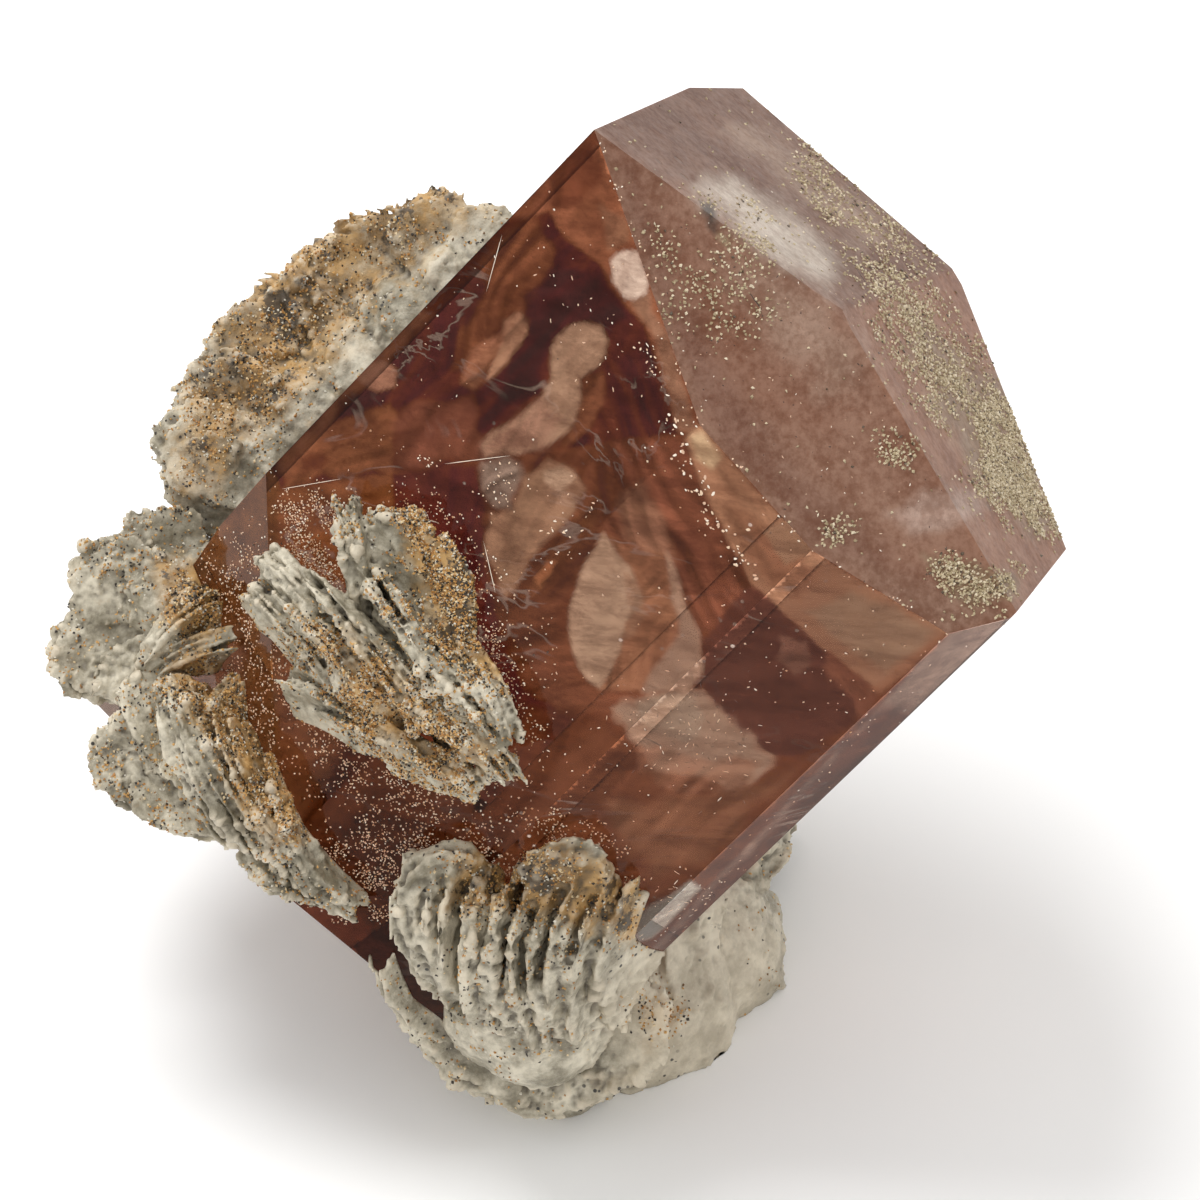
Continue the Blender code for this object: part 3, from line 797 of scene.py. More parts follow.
# %% The crystal
FINISH_OF = {CLEAR: 0, END: 1, FOOT: 1, FROSTED_SIDE: 2, FROSTED_BACK: 2}
region_layer = skin.faces.layers.int["region"]
for face in skin.faces:
    face.material_index = FINISH_OF[face[region_layer]]
crystal = as_piece(skin, "topaz", (clear_stone, etched_stone, frosted_stone))
store(crystal.data, "stone", skin_colour)
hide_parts("topaz_crystal")
print("topaz:", len(crystal.data.polygons), "triangles")

# %% [markdown]
# ## Albite blades
# Cleavelandite grows as rosettes of thin curved blades, and each blade is itself a stack of
# leaves with a toothed rim. The solids have one plain plate for each blade, so here every
# plate becomes four leaves in the same place, toothed and a little askew. A voxel remesh grows
# them into one skin, and a boolean cut takes off what would stand inside the crystal.

# %% Where the blades grow
# A row of eight is a blade: right, up, out, length, width, direction, lean, tip.
# A row of four is a knob: right, up, out, radius.
FRONT_PART = number_rows("""
-11.7 1.4 1.2 7.8 4.6 84 -52 10
-10.2 1.2 0.6 7.6 5 70 12 6
-13.8 -1 0.8 8 6 130 -36 0
-14.6 -2.4 0.4 7.6 5.4 140 -40 -4
-12.8 -2.6 1.6 9 5.8 132 -46 4
-11 -2.4 2 9.6 5.8 128 -48 6
-9.2 -2 1.4 9.4 5.6 122 -44 4
-7.6 -3.4 1 9 5.2 135 -48 2
-8.8 -5.2 1 9.2 5.2 150 -52 0
-10.4 -6.6 0.8 8.4 5 155 -54 0
-6.6 -6.2 0.4 7.6 4.6 145 -46 0
-8.2 -8 0.4 6 4 160 -44 0
-7.6 0.2 0.2 6 4.8 108 8 0
-12.8 -5.4 0.4 6.6 4.8 150 -38 0
-5.6 -4.4 0.2 5.6 4.2 120 -30 0
-10.6 -3.4 0 2.8
""")
LEFT_PART = number_rows("""
-22.8 0 -1.6 8.3 7.4 150 -14 4
-24.2 -2.5 -1.8 7.1 6 190 8 0
-21.4 1.3 -1.4 6.4 5.5 112 8 0
-21.2 -1.3 0.6 5.5 3.3 45 58 10
-19.8 -2.5 0.6 5.5 3.1 20 64 6
-19 -1.7 0 4.1 3.4 60 30 0
-19.6 0.5 -0.8 4.6 4.1 70 -20 0
-22.8 -3.5 -1.2 4.8 4.1 215 10 0
-21.4 0 -2 2.6
""")
LOWER_PART = number_rows("""
-21.2 -7 -0.4 8.2 5.2 122 22 0
-22 -8.4 -0.8 7.2 6 150 -10 0
-19.8 -8.2 0.8 9 5.2 115 54 4
-18.6 -9 1.2 10 5.4 118 58 6
-17.4 -9.8 1.4 10.4 5.6 120 60 6
-16.2 -10.6 1.6 10.2 5.6 122 58 6
-14.9 -11.8 1.6 8.8 5.2 120 56 4
-13.9 -13 1.4 6.6 4.8 118 48 0
-20.4 -9.8 -0.8 6.4 5.4 160 14 0
-18 -6.4 0.4 5.4 4.4 80 28 0
-15.4 -13.2 0.4 6 4.8 140 20 0
-18.6 -9 -1 2.8
""")
BOTTOM_PART = number_rows("""
-8 -16.2 -0.6 9.4 7.2 100 62 0
-6.6 -17.2 0 11.2 8 97 66 2
-5 -18 0.4 12.2 8.4 94 68 4
-3.4 -18.4 0.6 12.8 8.4 92 70 6
-1.8 -18.4 0.4 12.8 8.4 90 68 6
-0.4 -18 0 12.2 8.2 87 64 4
1 -17.2 -0.8 10.4 7.2 84 58 2
1.9 -16.4 -1.6 7.4 5.4 80 50 0
-8.6 -19.2 -1.8 7.4 6.2 112 38 0
-6 -21.6 -2.6 8.2 8.2 120 18 -20
-3 -22.6 -2.8 8.2 9.2 90 0 -26
0 -22 -3 8 8 60 -18 -20
-7.6 -14.2 0.4 5.4 5.2 100 20 0
-1.6 -14 0.8 5.8 5.4 90 10 0
-3.4 -19.8 -2.4 4.6
-2.6 -22 -6 3.8
""")
FOOT_PART = number_rows("""
2.6 -18 -12 9.2 7.6 62 28 0
2 -20.4 -13 8.4 8.2 100 10 0
4.2 -16.8 -11 8 5.6 82 46 0
1 -21.6 -13.5 8 8 40 -16 0
3.4 -19.6 -15 8.2 7.4 140 30 0
7 -13.6 -17.6 8.4 7 60 -50 -30
7.4 -12 -20 8 7 70 40 -40
5 -8.6 -24.4 8.4 7.4 60 -30 -60
-0.4 -6.6 -27 8.6 7.6 95 30 -60
-6 -5.8 -27.6 8.6 7.6 110 -30 -60
-11 -8.4 -25 8 7 150 40 -50
-9.6 -13.4 -19.6 7.6 6.8 190 -40 -30
-2.5 -20.6 -11 5.6
0.5 -20 -15.5 6.4
3.5 -18 -18 6
-2 -14.5 -20.5 6.4
-7 -11 -23.4 6
2.5 -11 -23.8 6.2
""")
BACK_PART = number_rows("""
-18.4 5.4 -3.4 7 6.2 150 -16 0
-19 7.1 -3.5 6.8 6.2 140 12 0
-17.8 9.1 -4.5 7.4 7 150 -14 0
-16.4 11.3 -5 7.6 7.2 125 12 0
-14.6 13.1 -5.5 7.6 7 140 -14 0
-12.6 14.5 -5.5 7.4 6.8 120 14 0
-10.4 16.1 -5 7.2 6.6 130 -12 0
-8 17.5 -4.5 6.4 5.8 110 12 0
-5.8 17.3 -4 5.2 4.7 95 -12 0
-17.6 6.6 -7 7 6.4 140 62 -10
-15.4 9.2 -8.5 7.4 6.8 130 -58 -14
-13 11.6 -9 7.6 7 138 60 -14
-10.6 13.8 -8.5 7.2 6.6 130 -60 -12
-8.2 15.6 -8 6.4 6 128 58 -10
-16.9 6.6 -5 2.8
-14.8 9 -5.8 3.3
-12.2 11.6 -6.2 3.5
-9.6 14 -5.6 3.1
-7.4 15.8 -4.8 2.4
""")
PARTS = (FRONT_PART, LEFT_PART, LOWER_PART, BOTTOM_PART, FOOT_PART, BACK_PART)
print("blades and knobs:", sum(len(part) for part in PARTS))

# %% One leaf of a blade
RIM_POINTS = 96
RINGS = (0.35, 0.65, 0.88, 1.0)
NOTCH, CHIPPED = 0.05, 0.022
NARROWING = 0.22
THIN_RIM = 0.55


def blade_axes(angle, lean, tip):
    """A blade's width, length and thickness directions in the viewing frame."""
    angle, lean, tip = math.radians(angle), math.radians(lean), math.radians(tip)
    flat = Vector((math.cos(angle), math.sin(angle), 0))
    across = Vector((math.sin(angle), -math.cos(angle), 0))
    length = flat * math.cos(tip) + Vector((0, 0, 1)) * math.sin(tip)
    rise = across.cross(length)
    thick = rise * math.cos(lean) + across * math.sin(lean)
    width = across * math.cos(lean) - rise * math.sin(lean)
    return width, length, thick


def leaf(bm, place, axes, length, width, thickness, sag, offset, phase, rng):
    """A thin curved leaf with a toothed rim, closed all round."""
    wide, long, out = (np.array(axis) for axis in axes)
    turn = np.linspace(0, math.tau, RIM_POINTS, endpoint=False)
    teeth = rng.integers(20, 30)
    ragged = 1 + 0.06 * np.sin(5 * turn + phase) + 0.03 * np.sin(11 * turn + 2.3 * phase)
    bite = np.abs((turn / math.tau * teeth + phase) % 1 - 0.5) * 2
    bite = bite * NOTCH + rng.uniform(-CHIPPED, CHIPPED, RIM_POINTS)
    layers = []
    for side in (1, -1):
        for ring in RINGS:
            reach = ragged * ring + bite * ring ** 6
            x, y = np.cos(turn) * reach, np.sin(turn) * reach
            x = x * (1 - NARROWING * (1 - y))
            z = sag * (x * x + 0.6 * y * y) + offset
            z = z + side * thickness / 2 * (1 - THIN_RIM * ring ** 4)
            layers.append(
                np.array(place) + np.outer(x * width / 2, wide)
                + np.outer(y * length / 2, long) + np.outer(z, out)
            )
    count = len(RINGS)
    rings = [[bm.verts.new(p) for p in layer] for layer in layers]
    heads = [
        bm.verts.new(np.array(place) + out * (offset + side * thickness / 2)) for side in (1, -1)
    ]
    for side, way in ((0, 1), (1, -1)):
        mine = rings[side * count:(side + 1) * count]
        for i in range(RIM_POINTS):
            j = (i + 1) % RIM_POINTS
            bm.faces.new([heads[side], mine[0][i], mine[0][j]][::way])
            for inner, outer in zip(mine, mine[1:]):
                bm.faces.new([inner[i], outer[i], outer[j], inner[j]][::way])
    for i in range(RIM_POINTS):
        j = (i + 1) % RIM_POINTS
        bm.faces.new([rings[count - 1][i], rings[-1][i], rings[-1][j], rings[count - 1][j]])


def knob(bm, place, radius, rng):
    """A rounded, uneven lump that the blades grow from."""
    made = bmesh.ops.create_icosphere(bm, subdivisions=4, radius=1)["verts"]
    unit = np.array([v.co[:] for v in made])
    rough = 0.85 + 0.3 * clouds(unit, 0.7, int(rng.integers(1, 999)))
    for vertex, point, size in zip(made, unit, rough):
        vertex.co = Vector(place) + Vector(point) * (radius * size)


print("a leaf has", RIM_POINTS, "rim points")

# %% [markdown]
# ## One skin for a cluster
# The blades of a cluster have grown together. Leaves that only pass through each other would
# look like a heap of cards, so a voxel remesh makes one closed skin of them. A boolean with a
# slightly larger crystal cuts the seat, and noise crumbles the skin except close to the seat.

# %% Blades and knobs of one cluster
LEAVES = 4
LEAF_GAP = 0.36
SAG = 0.42
OUTWARD = Vector((0, 0, 1))
HIGH_ABOVE = 120
carrier_shape = merged_solid("topaz_crystal")
carrier = BVHTree.FromBMesh(carrier_shape)


def raw_cluster(parts, rng):
    """The leaves and knobs of a cluster, still separate, each part on its own seat."""
    bm = bmesh.new()
    for rows, seat, on_face in parts:
        base, normal = Vector(), OUTWARD
        if seat:
            base, face = carrier.ray_cast(Vector((*seat, HIGH_ABOVE)), -OUTWARD)[:2]
            normal = face if on_face else normal
        follow = OUTWARD.rotation_difference(normal)

        def place_at(right, up, out):
            flat = normal.x * (right - base.x) + normal.y * (up - base.y)
            return Vector((right, up, base.z - flat / normal.z + out))

        for *place, length, width, angle, lean, tip in (row for row in rows if len(row) == 8):
            phase = rng.uniform(0, math.tau)
            sag = SAG * rng.uniform(0.7, 1.3)
            for index in range(LEAVES):
                offset = (index - (LEAVES - 1) / 2) * LEAF_GAP
                size = rng.uniform(0.88, 1.04)
                turned = angle + rng.uniform(-4, 4)
                axes = [follow @ axis for axis in blade_axes(turned, lean, tip)]
                slide = axes[1] * rng.uniform(-0.25, 0.25)
                leaf(bm, place_at(*place) + slide, axes, length * size, width * size,
                     rng.uniform(0.20, 0.30), sag, offset, phase + index * 1.7, rng)
        for *place, radius in (row for row in rows if len(row) == 4):
            knob(bm, place_at(*place), radius, rng)
    bm.normal_update()
    return bm


print("the crystal that carries them has", len(carrier_shape.faces), "faces")

# %% Growing a cluster together
ROOM_SCALE = 1.002
GROUND = -26.0
SEAT_MARGIN = 0.4
SWELLING, ROUGHNESS, LUMPS = 0.26, 0.14, 1.3

room = carrier_shape.copy()
heart = sum((v.co for v in room.verts), Vector()) / len(room.verts)
bmesh.ops.transform(
    room, verts=room.verts,
    matrix=Matrix.Translation(heart) @ Matrix.Scale(ROOM_SCALE, 4) @ Matrix.Translation(-heart),
)
bmesh.ops.triangulate(room, faces=room.faces)
room_mesh = bpy.data.meshes.new("crystal_room")
room.to_mesh(room_mesh)
room.free()
cutter = put("crystal_room", room_mesh)


def one_skin(bm, name, voxel):
    """Everything in a cluster grown into one closed skin that stops at the crystal."""
    mesh = bpy.data.meshes.new(name)
    bm.to_mesh(mesh)
    bm.free()
    item = put(name, mesh)
    remesh = item.modifiers.new("grow", "REMESH")
    remesh.mode = "VOXEL"
    remesh.voxel_size = voxel
    cut = item.modifiers.new("seat", "BOOLEAN")
    cut.operation = "DIFFERENCE"
    cut.object = cutter
    cut.solver = "MANIFOLD"
    graph = bpy.context.evaluated_depsgraph_get()
    grown = bpy.data.meshes.new_from_object(item.evaluated_get(graph))
    bpy.data.objects.remove(item)
    bm = bmesh.new()
    bm.from_mesh(grown)
    bpy.data.meshes.remove(grown)
    return bm


def crumble(bm):
    """Pushes the skin about: fine unevenness, and lumps where the albite is sugary."""
    bm.normal_update()
    points = np.array([v.co[:] for v in bm.verts])
    normals = np.array([v.normal[:] for v in bm.verts])
    push = (clouds(points, 1.1, 41) - 0.5) * SWELLING
    push = push + (cloud(points, 0.28, 43) - 0.5) * ROUGHNESS
    crumbly = np.clip((clouds(points, 3.2, 49) - 0.44) * 6, 0, 1)
    push += np.clip(clouds(points, 0.7, 47) - 0.46, 0, 1) * LUMPS * crumbly
    near = np.array([carrier.find_nearest(v.co)[3] for v in bm.verts])
    push *= np.clip(near / SEAT_MARGIN, 0, 1)
    points = points + normals * push[:, None]
    depth = points @ np.array(DOWN) + GROUND
    points -= np.outer(np.maximum(depth, 0), np.array(DOWN))
    for vertex, point in zip(bm.verts, points):
        vertex.co = point
    return bm


print("the ground lies", -GROUND, "mm below the middle")

# %% [markdown]
# ## The albite's colour
# Fresh albite is white. This one has weathered to grey, with ochre stains and dark grains. Noise
# alone would stain it everywhere, so patches drawn on the front view say where the stains are.
# How far each point stands out from its neighbours paints shade into hollows and a highlight on
# rims.

# %% The finish of the albite
albite = Finish("albite")
stain = albite.painted("stain", "Fac")
wide_stain = (albite.noise(170, 5, 0.65) + stain * 0.5).rise(0.60, 0.86)
fine_stain = (albite.noise(900, 5, 0.7) + stain * 0.34).rise(0.60, 0.80)
grey = albite.blend(
    albite.noise(380, 7, 0.68).rise(0.34, 0.66), tone(118, 110, 90), tone(214, 205, 184)
)
ochre = albite.blend(albite.noise(520, 3).rise(0.4, 0.6), tone(188, 150, 96), tone(134, 104, 62))
body = albite.blend(wide_stain * 0.55 + fine_stain * 0.45, grey, ochre)
soot = albite.noise(430, 6, 0.72) + stain * 0.20
body = albite.blend(soot.rise(0.68, 0.74) * 0.85, body, tone(50, 44, 38))
# Painted shade in the hollows, and a painted highlight on the rims and the pale foot patch.
body = albite.blend(albite.painted("hollow", "Fac"), body, tone(74, 64, 48))
body = albite.blend(albite.painted("rim", "Fac") * 0.6, body, tone(222, 208, 184))
albite.surface(
    Base_Color=albite.blend(
        albite.specks(1900, 0.24) * albite.noise(220, 2).rise(0.55, 0.66), body, tone(48, 44, 40),
    ),
    Roughness=albite.noise(300, 3) * 0.4 + 0.2,
    Normal=albite.bump(albite.noise(2600, 5, 0.75), 0.0001, 0.9),
)
print("the albite has one finish")

# %% Stains, painted shade and painted highlights
# Each patch: its name, how strong, how soft in pixels, its outline.
STAINS = named_rows("""
round_front_fan 1 16 385,460 440,450 480,520 520,600 575,690 560,730 500,690 440,640 410,560
below_front_fan 0.6 14 300,620 360,640 430,700 520,760 440,790 350,730
back_rosette 0.8 30 230,260 330,170 420,130 500,190 420,250 300,400 190,480 170,380
left_cluster 0.9 12 150,560 215,560 240,620 200,650 160,620
lower_left_fan 0.8 14 150,650 250,650 285,740 320,830 270,850 200,720
foot 0.9 14 450,850 560,840 640,880 650,940 560,920 440,910
foot_tip 0.7 8 628,1000 660,990 690,1010 650,1050
""")
PALE_FOOT_PATCH = named_rows("clean 600,1000 650,930 730,880 790,940 760,1060 640,1100")[0][1:]
BULGE_ROUNDS = 5


def stains_and_painted_light(piece):
    """Stores each point's stain, and painted shade in hollows and a painted highlight on rims."""
    mesh = piece.data
    at, out = np.empty((2, len(mesh.vertices), 3))
    ends = np.empty((len(mesh.edges), 2), int)
    mesh.vertices.foreach_get("co", at.ravel())
    mesh.vertex_normals.foreach_get("vector", out.ravel())
    mesh.edges.foreach_get("vertices", ends.ravel())
    at = (at - MIDDLE) / MM
    count = np.bincount(ends.ravel(), minlength=len(at))[:, None]

    def around(values):
        total = np.zeros_like(values)
        np.add.at(total, ends[:, 0], values[ends[:, 1]])
        np.add.at(total, ends[:, 1], values[ends[:, 0]])
        return total / np.maximum(count, 1)

    smooth = at
    for _ in range(BULGE_ROUNDS):
        smooth = around(smooth)
    bulge = np.sum((at - smooth) * out, axis=1)
    seen_at = to_picture(at @ TURN)
    stain = np.zeros(len(at))
    for _, strength, soft, *outline in STAINS:
        stain = np.maximum(stain, strength * inside_shape(seen_at, outline, soft * 2))
    store(mesh, "stain", stain)
    # Painted shade where the skin lies below its neighbours, a painted highlight where it stands
    # out; the paler patch on the foot is laid into the highlight too.
    store(mesh, "hollow", np.clip(-bulge * 9 - 0.08, 0, 0.85))
    pale_foot = inside_shape(seen_at, PALE_FOOT_PATCH, 30) * 0.8
    store(mesh, "rim", np.maximum(np.clip(bulge * 8 - 0.35, 0, 1), pale_foot))
    return at, out, stain


print(len(STAINS), "stains")

# %% Grow the clusters
# Each cluster: its node, the size of its voxels, then its parts: rows, seat and whether the
# part leans with the face it sits on.
CLUSTERS = (
    ("albite_front", 0.12, (FRONT_PART, (-11.0, -2.0), True)),
    ("albite_left", 0.11, (LEFT_PART, (-19.6, -1.4), False)),
    ("albite_lower_left", 0.12, (LOWER_PART, (-17.6, -9.0), False)),
    ("albite_back", 0.16, (BACK_PART, None, False)),
    ("albite_foot", 0.2, (FOOT_PART, None, False), (BOTTOM_PART, (-4.0, -16.5), True)),
)
clusters = {}
for seed, (node, voxel, *parts) in enumerate(CLUSTERS, 50):
    name = node.replace("albite", "blades")
    grown = one_skin(raw_cluster(parts, np.random.default_rng(seed)), name, voxel)
    piece = as_piece(crumble(grown), name, (albite,), True)
    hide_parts(node)
    clusters[node] = (piece, *stains_and_painted_light(piece))
    print(name, len(piece.data.polygons), "faces")
bpy.data.objects.remove(cutter)
carrier_shape.free()

# %% [markdown]
# ## Sugary grains
# Fine grains of late albite and clay lie over the clusters, on the crystal next to them and as
# crusts on its end faces. They repeat by the thousand, so one Geometry Nodes tree makes them:
# points scattered where a painted attribute is strong, a small faceted grain on each, turned
# and scaled at random, and a number kept on each grain that its finish turns into a colour.

# %% The tree that sprinkles grains
def sprinkle_tree():
    """Grains over a surface, as many as its dust attribute says."""
    tree = bpy.data.node_groups.new("sprinkle", "GeometryNodeTree")
    kinds = {
        "Surface": "Geometry", "Grains per square metre": "Float", "Smallest": "Vector",
        "Largest": "Vector", "Seed": "Int", "Finish": "Material",
    }
    for label, kind in kinds.items():
        tree.interface.new_socket(label, in_out="INPUT", socket_type="NodeSocket" + kind)
    tree.interface.new_socket("Grains", in_out="OUTPUT", socket_type="NodeSocketGeometry")

    def make(kind, settings, values):
        node = tree.nodes.new(kind)
        for key, value in settings.items():
            setattr(node, key, value)
        for key, value in values.items():
            if isinstance(value, bpy.types.NodeSocket):
                tree.links.new(value, node.inputs[key])
            else:
                node.inputs[key].default_value = value
        return node

    given = make("NodeGroupInput", {}, {}).outputs
    strong = make("GeometryNodeInputNamedAttribute", {"data_type": "FLOAT"}, {"Name": "dust"})
    density = make(
        "ShaderNodeMath", {"operation": "MULTIPLY"},
        {0: strong.outputs["Attribute"], 1: given["Grains per square metre"]},
    )
    spots = make(
        "GeometryNodeDistributePointsOnFaces", {},
        {"Mesh": given["Surface"], "Density": density.outputs[0], "Seed": given["Seed"]},
    )
    turned = make(
        "FunctionNodeRandomValue", {"data_type": "FLOAT_VECTOR"},
        {0: (0, 0, 0), 1: (math.tau, math.tau, math.tau), "Seed": given["Seed"]},
    )
    scaled = make(
        "FunctionNodeRandomValue", {"data_type": "FLOAT_VECTOR"},
        {0: given["Smallest"], 1: given["Largest"], "Seed": 5},
    )
    shade = make("FunctionNodeRandomValue", {"data_type": "FLOAT"}, {2: 0.0, 3: 1.0, "Seed": 9})
    grain = make("GeometryNodeMeshUVSphere", {}, {"Radius": 1.0, "Segments": 4, "Rings": 2})
    placed = make(
        "GeometryNodeInstanceOnPoints", {},
        {"Points": spots.outputs["Points"], "Instance": grain.outputs["Mesh"],
         "Rotation": turned.outputs[0], "Scale": scaled.outputs[0]},
    )
    kept = make(
        "GeometryNodeStoreNamedAttribute", {"domain": "INSTANCE", "data_type": "FLOAT"},
        {"Geometry": placed.outputs[0], "Name": "shade", "Value": shade.outputs[1]},
    )
    solid = make("GeometryNodeRealizeInstances", {}, {"Geometry": kept.outputs[0]})
    finished = make(
        "GeometryNodeSetMaterial", {},
        {"Geometry": solid.outputs[0], "Material": given["Finish"]},
    )
    out = tree.nodes.new("NodeGroupOutput")
    tree.links.new(finished.outputs[0], out.inputs["Grains"])
    return tree


SPRINKLE = sprinkle_tree()
print("the tree has", len(SPRINKLE.nodes), "nodes")

# %% Sprinkling over a piece
PER_M2 = 1e6
GRAIN_FACES = 8


def sprinkle(name, surface, dust, per_mm2, sizes, seed, finish):
    """Grains over a surface mesh where dust, one number for each of its points, is strong."""
    mesh = surface.copy()
    store(mesh, "dust", dust)
    bed = put(name + "_bed", mesh)
    modifier = bed.modifiers.new("sprinkle", "NODES")
    modifier.node_group = SPRINKLE
    given = {
        "Grains per square metre": per_mm2 * PER_M2,
        "Smallest": Vector((sizes[0],) * 3) * MM,
        "Largest": Vector((sizes[1],) * 3) * MM,
        "Seed": seed,
        "Finish": finish.material,
    }
    for socket in SPRINKLE.interface.items_tree:
        if socket.name in given:
            modifier[socket.identifier] = given[socket.name]
    graph = bpy.context.evaluated_depsgraph_get()
    grains = bpy.data.meshes.new_from_object(bed.evaluated_get(graph))
    bpy.data.objects.remove(bed)
    bpy.data.meshes.remove(mesh)
    grains.name = name
    piece = put(name, grains)
    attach(piece, "root")
    print(name, len(grains.polygons) // GRAIN_FACES, "grains")


def grain_finish(name, *stops):
    """Grains that each take one of a few colours; stops are places and colours in turn."""
    finish = Finish(name)
    ramp = [(place, tone(*colour)) for place, colour in zip(stops[::2], stops[1::2])]
    shade = finish.painted("shade", "Fac")
    colour = finish.node("ShaderNodeValToRGB", {"stops": ramp}, {"Fac": shade})
    colour.color_ramp.interpolation = "CONSTANT"
    finish.surface(
        Base_Color=colour.outputs[0],
        Roughness=finish.noise(3000, 2) * 0.3 + 0.35,
    )
    return finish


pale_grains, stained_grains, crust_grains = (grain_finish(*row) for row in named_rows("""
pale_grains 0 214,178,150 0.35 226,198,168 0.6 196,150,112 0.8 238,226,208 0.96 70,54,44
stained_grains 0 190,146,84 0.28 166,118,62 0.46 212,190,150 0.62 206,200,184 0.73 46,39,34
  0.93 120,90,56
crust_grains 0 170,154,122 0.35 190,174,144 0.62 146,128,98 0.82 206,192,166 0.95 84,70,54
"""))
print("the grains have three finishes")

# %% Grains on the crystal
FRONT_DUST = named_rows("""
above_front_fan 1 14 274,505 345,500 350,560 320,590 276,570
below_front_fan 0.55 30 262,560 345,500 440,520 480,580 522,650 522,750 470,800 400,830 330,790
  285,700
over_foot 0.8 16 330,834 420,838 520,826 590,822 640,900 600,940 430,950 340,910
left_edge 0.35 26 185,560 262,540 285,700 290,790 230,740 190,640
beside_foot 0.5 10 480,660 520,690 522,760 490,780
""")
CRUSTS = named_rows("""
right_rim 1 12 985,400 1010,400 1040,450 1062,530 1040,530 1000,510 970,470
low_corner 1 9 925,556 960,562 1015,572 1010,592 975,608 940,585
low_spot 0.9 7 815,517 842,516 856,540 838,546
high_spot 0.8 8 884,432 905,434 912,458 890,460
right_band 0.4 16 860,255 905,270 1000,390 980,440 915,390 880,330
near_ridge 0.22 20 650,215 760,220 770,330 690,340
top_band 0.3 14 800,150 880,215 940,265 905,262 800,190
""")
THINLY = 0.004


def dust_over(points, patches, seed):
    """How many grains lie at each point: patches with wavering rims, thin everywhere else."""
    spots = to_picture(points)
    waver = np.stack([clouds(points, 1.2, seed + axis) - 0.5 for axis in (0, 5)], axis=1) * 60
    total = np.full(len(points), THINLY)
    for _, strength, soft, *outline in patches:
        total = np.maximum(total, strength * inside_shape(spots + waver, outline, soft * 1.5))
    return total * np.clip((clouds(points, 0.9, seed + 9) - 0.34) * 4, 0, 1)


facing = skin_normals[:, 2] > SEEN
end_side = np.array([Vector(n).dot(ALONG) > 0.45 for n in skin_normals])
front_dust = dust_over(skin_points, FRONT_DUST, 400) * (facing & ~end_side)
sprinkle("sugar_on_crystal", crystal.data, front_dust, 75, (0.022, 0.085), 3, pale_grains)
crust_dust = dust_over(skin_points, CRUSTS, 500) * (facing & end_side)
sprinkle("crust_on_end", crystal.data, crust_dust, 110, (0.04, 0.14), 4, crust_grains)

# %% [markdown]
# ## Chips, glints and needles
# Bruised edges, painted glints and hair-thin needles lie on the crystal's faces, two of the
# needles a painted reflection line. They are few and each has its place, so a loop sends rays
# from the eye along trails drawn on the front view and lays one flat flake where each ray meets
# the stone.

# %% Chips, glints and needles on the crystal
# Each trail: pale or dark, how many, width from and to in millimetres, length in widths,
# spread in pixels, the points it follows. Each needle: pale or dark, its width, its two ends.
# Painted glints and highlights among the trails: the curl from 631,343, the patch at 500,468, the
# arm from 538,552 and the specks over the upper dark zone and the dark quad. The pale needles
# from 276,490 and 436,465 are a painted reflection line.
TRAILS = named_rows("""
pale 90 0.05 0.2 2 7 672,420 681,449 694,479 711,512 726,540 752,575
pale 16 0.06 0.14 2 3 631,343 645,350 653,362 652,378
pale 14 0.05 0.12 2 3 416,455 442,468
pale 44 0.04 0.12 2 12 500,468 508,498
pale 26 0.04 0.12 3 10 538,552 560,530 582,508
pale 40 0.03 0.09 4 30 540,250 575,300 620,340 655,400
pale 50 0.02 0.09 3 34 740,630 800,680 850,700
dark 120 0.02 0.04 14 26 645,710 690,735 735,760
pale 90 0.02 0.05 10 26 645,710 690,735 735,760
pale 50 0.02 0.05 12 16 640,920 670,905 700,888
pale 80 0.03 0.12 2 3 596,132 640,250 700,425 811,549 948,633
pale 60 0.03 0.12 2 4 948,633 860,730 742,860 655,945
pale 40 0.03 0.1 2 4 272,462 278,520 282,620 284,700
pale 50 0.03 0.1 3 40 520,640 560,760 600,820
pale 60 0.02 0.07 3 60 420,480 440,640 500,780
pale 50 0.02 0.07 3 40 330,420 430,340 540,240
pale 70 0.02 0.08 3 34 780,200 860,300 940,420
dark 70 0.02 0.08 3 50 740,150 860,300 980,470
pale 90 0.02 0.06 4 50 680,240 780,400 900,540
dark 60 0.02 0.07 3 50 680,240 780,400 900,540
""")
NEEDLES = named_rows("""
pale 0.09 396,512 447,525
pale 0.12 250,575 282,588
pale 0.05 482,535 497,600
pale 0.04 276,490 346,478
pale 0.04 436,465 515,455
pale 0.04 505,224 484,300
dark 0.1 852,262 871,291
dark 0.09 748,291 763,311
dark 0.22 702,200 716,226
dark 0.18 712,206 722,232
dark 0.06 905,330 913,352
dark 0.05 818,170 826,190
dark 0.05 640,735 665,748
dark 0.05 700,905 708,925
""")
PALE_SHADES, PALE_NEEDLE, DARK_SHADE = (0.1, 0.5, 0.85), 0.85, 0.98
GRAZING = 0.05


def on_crystal(x, y):
    """The place on the crystal under a picture point, and the way its face looks."""
    start = Vector((0, 0, DISTANCE))
    aim = Vector(((x - HALF_PICTURE) / PIXELS, (HALF_PICTURE - y) / PIXELS, 0))
    return solid_tree.ray_cast(start, (aim - start).normalized())[:2]


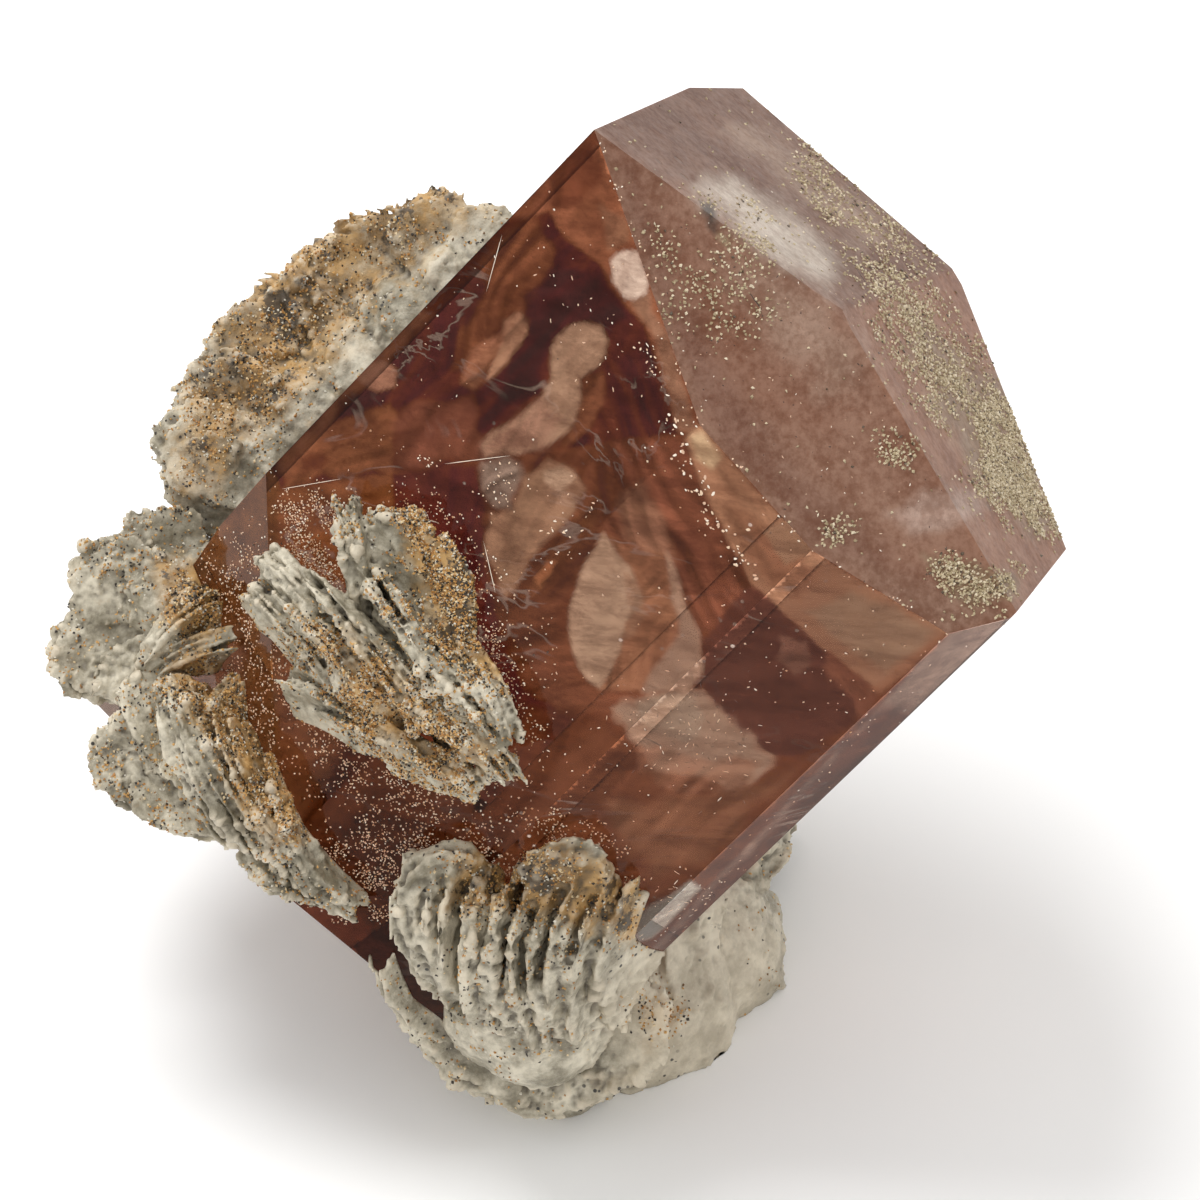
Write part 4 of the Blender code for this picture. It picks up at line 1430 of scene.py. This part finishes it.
def lay_flake(bm, shades, place, normal, way, length, width, shade, rng):
    """A flat six-sided flake on a face."""
    side = normal.cross(way).normalized()
    way = side.cross(normal)
    ring = []
    for turn in range(6):
        angle = math.tau * turn / 6 + rng.uniform(-0.3, 0.3)
        reach = rng.uniform(0.7, 1.0)
        ring.append(bm.verts.new(
            place + way * math.cos(angle) * length * reach / 2
            + side * math.sin(angle) * width * reach / 2
        ))
    peak, root = (bm.verts.new(place + normal * width * part) for part in (0.2, -0.2))
    for first, second in zip(ring, ring[1:] + ring[:1]):
        bm.faces.new((first, second, peak))
        bm.faces.new((second, first, root))
    shades += [shade] * 8


solid = merged_solid("topaz_crystal")
solid_tree = BVHTree.FromBMesh(solid)
solid.free()
rng = np.random.default_rng(77)
flakes, shades = bmesh.new(), []
for look, count, least, most, slender, spread, *trail in TRAILS:
    trail = np.array(trail)
    for _ in range(int(count)):
        part = rng.random() * (len(trail) - 1)
        step = int(part)
        spot = trail[step] + (trail[step + 1] - trail[step]) * (part - step)
        place, normal = on_crystal(*(spot + rng.normal(0, spread, 2)))
        if place is None or normal.z < GRAZING:
            continue
        width = rng.uniform(least, most)
        way = Vector(rng.normal(size=3))
        length = width * rng.uniform(1, slender)
        shade = rng.choice(PALE_SHADES) if look == "pale" else DARK_SHADE
        lay_flake(flakes, shades, place, normal, way, length, width, shade, rng)
for look, width, *ends in NEEDLES:
    (start, normal), (end, _) = (on_crystal(*spot) for spot in ends)
    if start is None or end is None:
        continue
    way = end - start
    shade = PALE_NEEDLE if look == "pale" else DARK_SHADE
    lay_flake(flakes, shades, (start + end) / 2, normal, way, way.length, width, shade, rng)
bmesh.ops.recalc_face_normals(flakes, faces=flakes.faces)
flake_count = len(flakes.verts) // 8
flake_piece = as_piece(flakes, "chips_needles_and_glints", (pale_grains,))
store(flake_piece.data, "shade", np.array(shades))
print(flake_count, "chips and needles")

# %% Grains on the clusters
GRAINS_PER_MM2 = {
    "albite_front": 230, "albite_left": 90, "albite_lower_left": 110, "albite_back": 50,
    "albite_foot": 40,
}
for seed, (node, (piece, places, out, stain)) in enumerate(clusters.items()):
    patch = np.clip((clouds(places, 4.0, 600 + seed) - 0.42) * 6, 0, 1)
    fine = np.clip((clouds(places, 0.8, 650 + seed) - 0.36) * 4, 0, 1)
    upper_side = np.clip(out @ TO_EYE * 1.4 + 0.1, 0, 1)
    dust = np.clip(patch * 0.25 + stain * 0.9, 0, 1) * fine * upper_side
    sprinkle("grains_on_" + node.replace("albite_", ""), piece.data, dust,
             GRAINS_PER_MM2[node], (0.03, 0.12), 20 + seed, stained_grains)
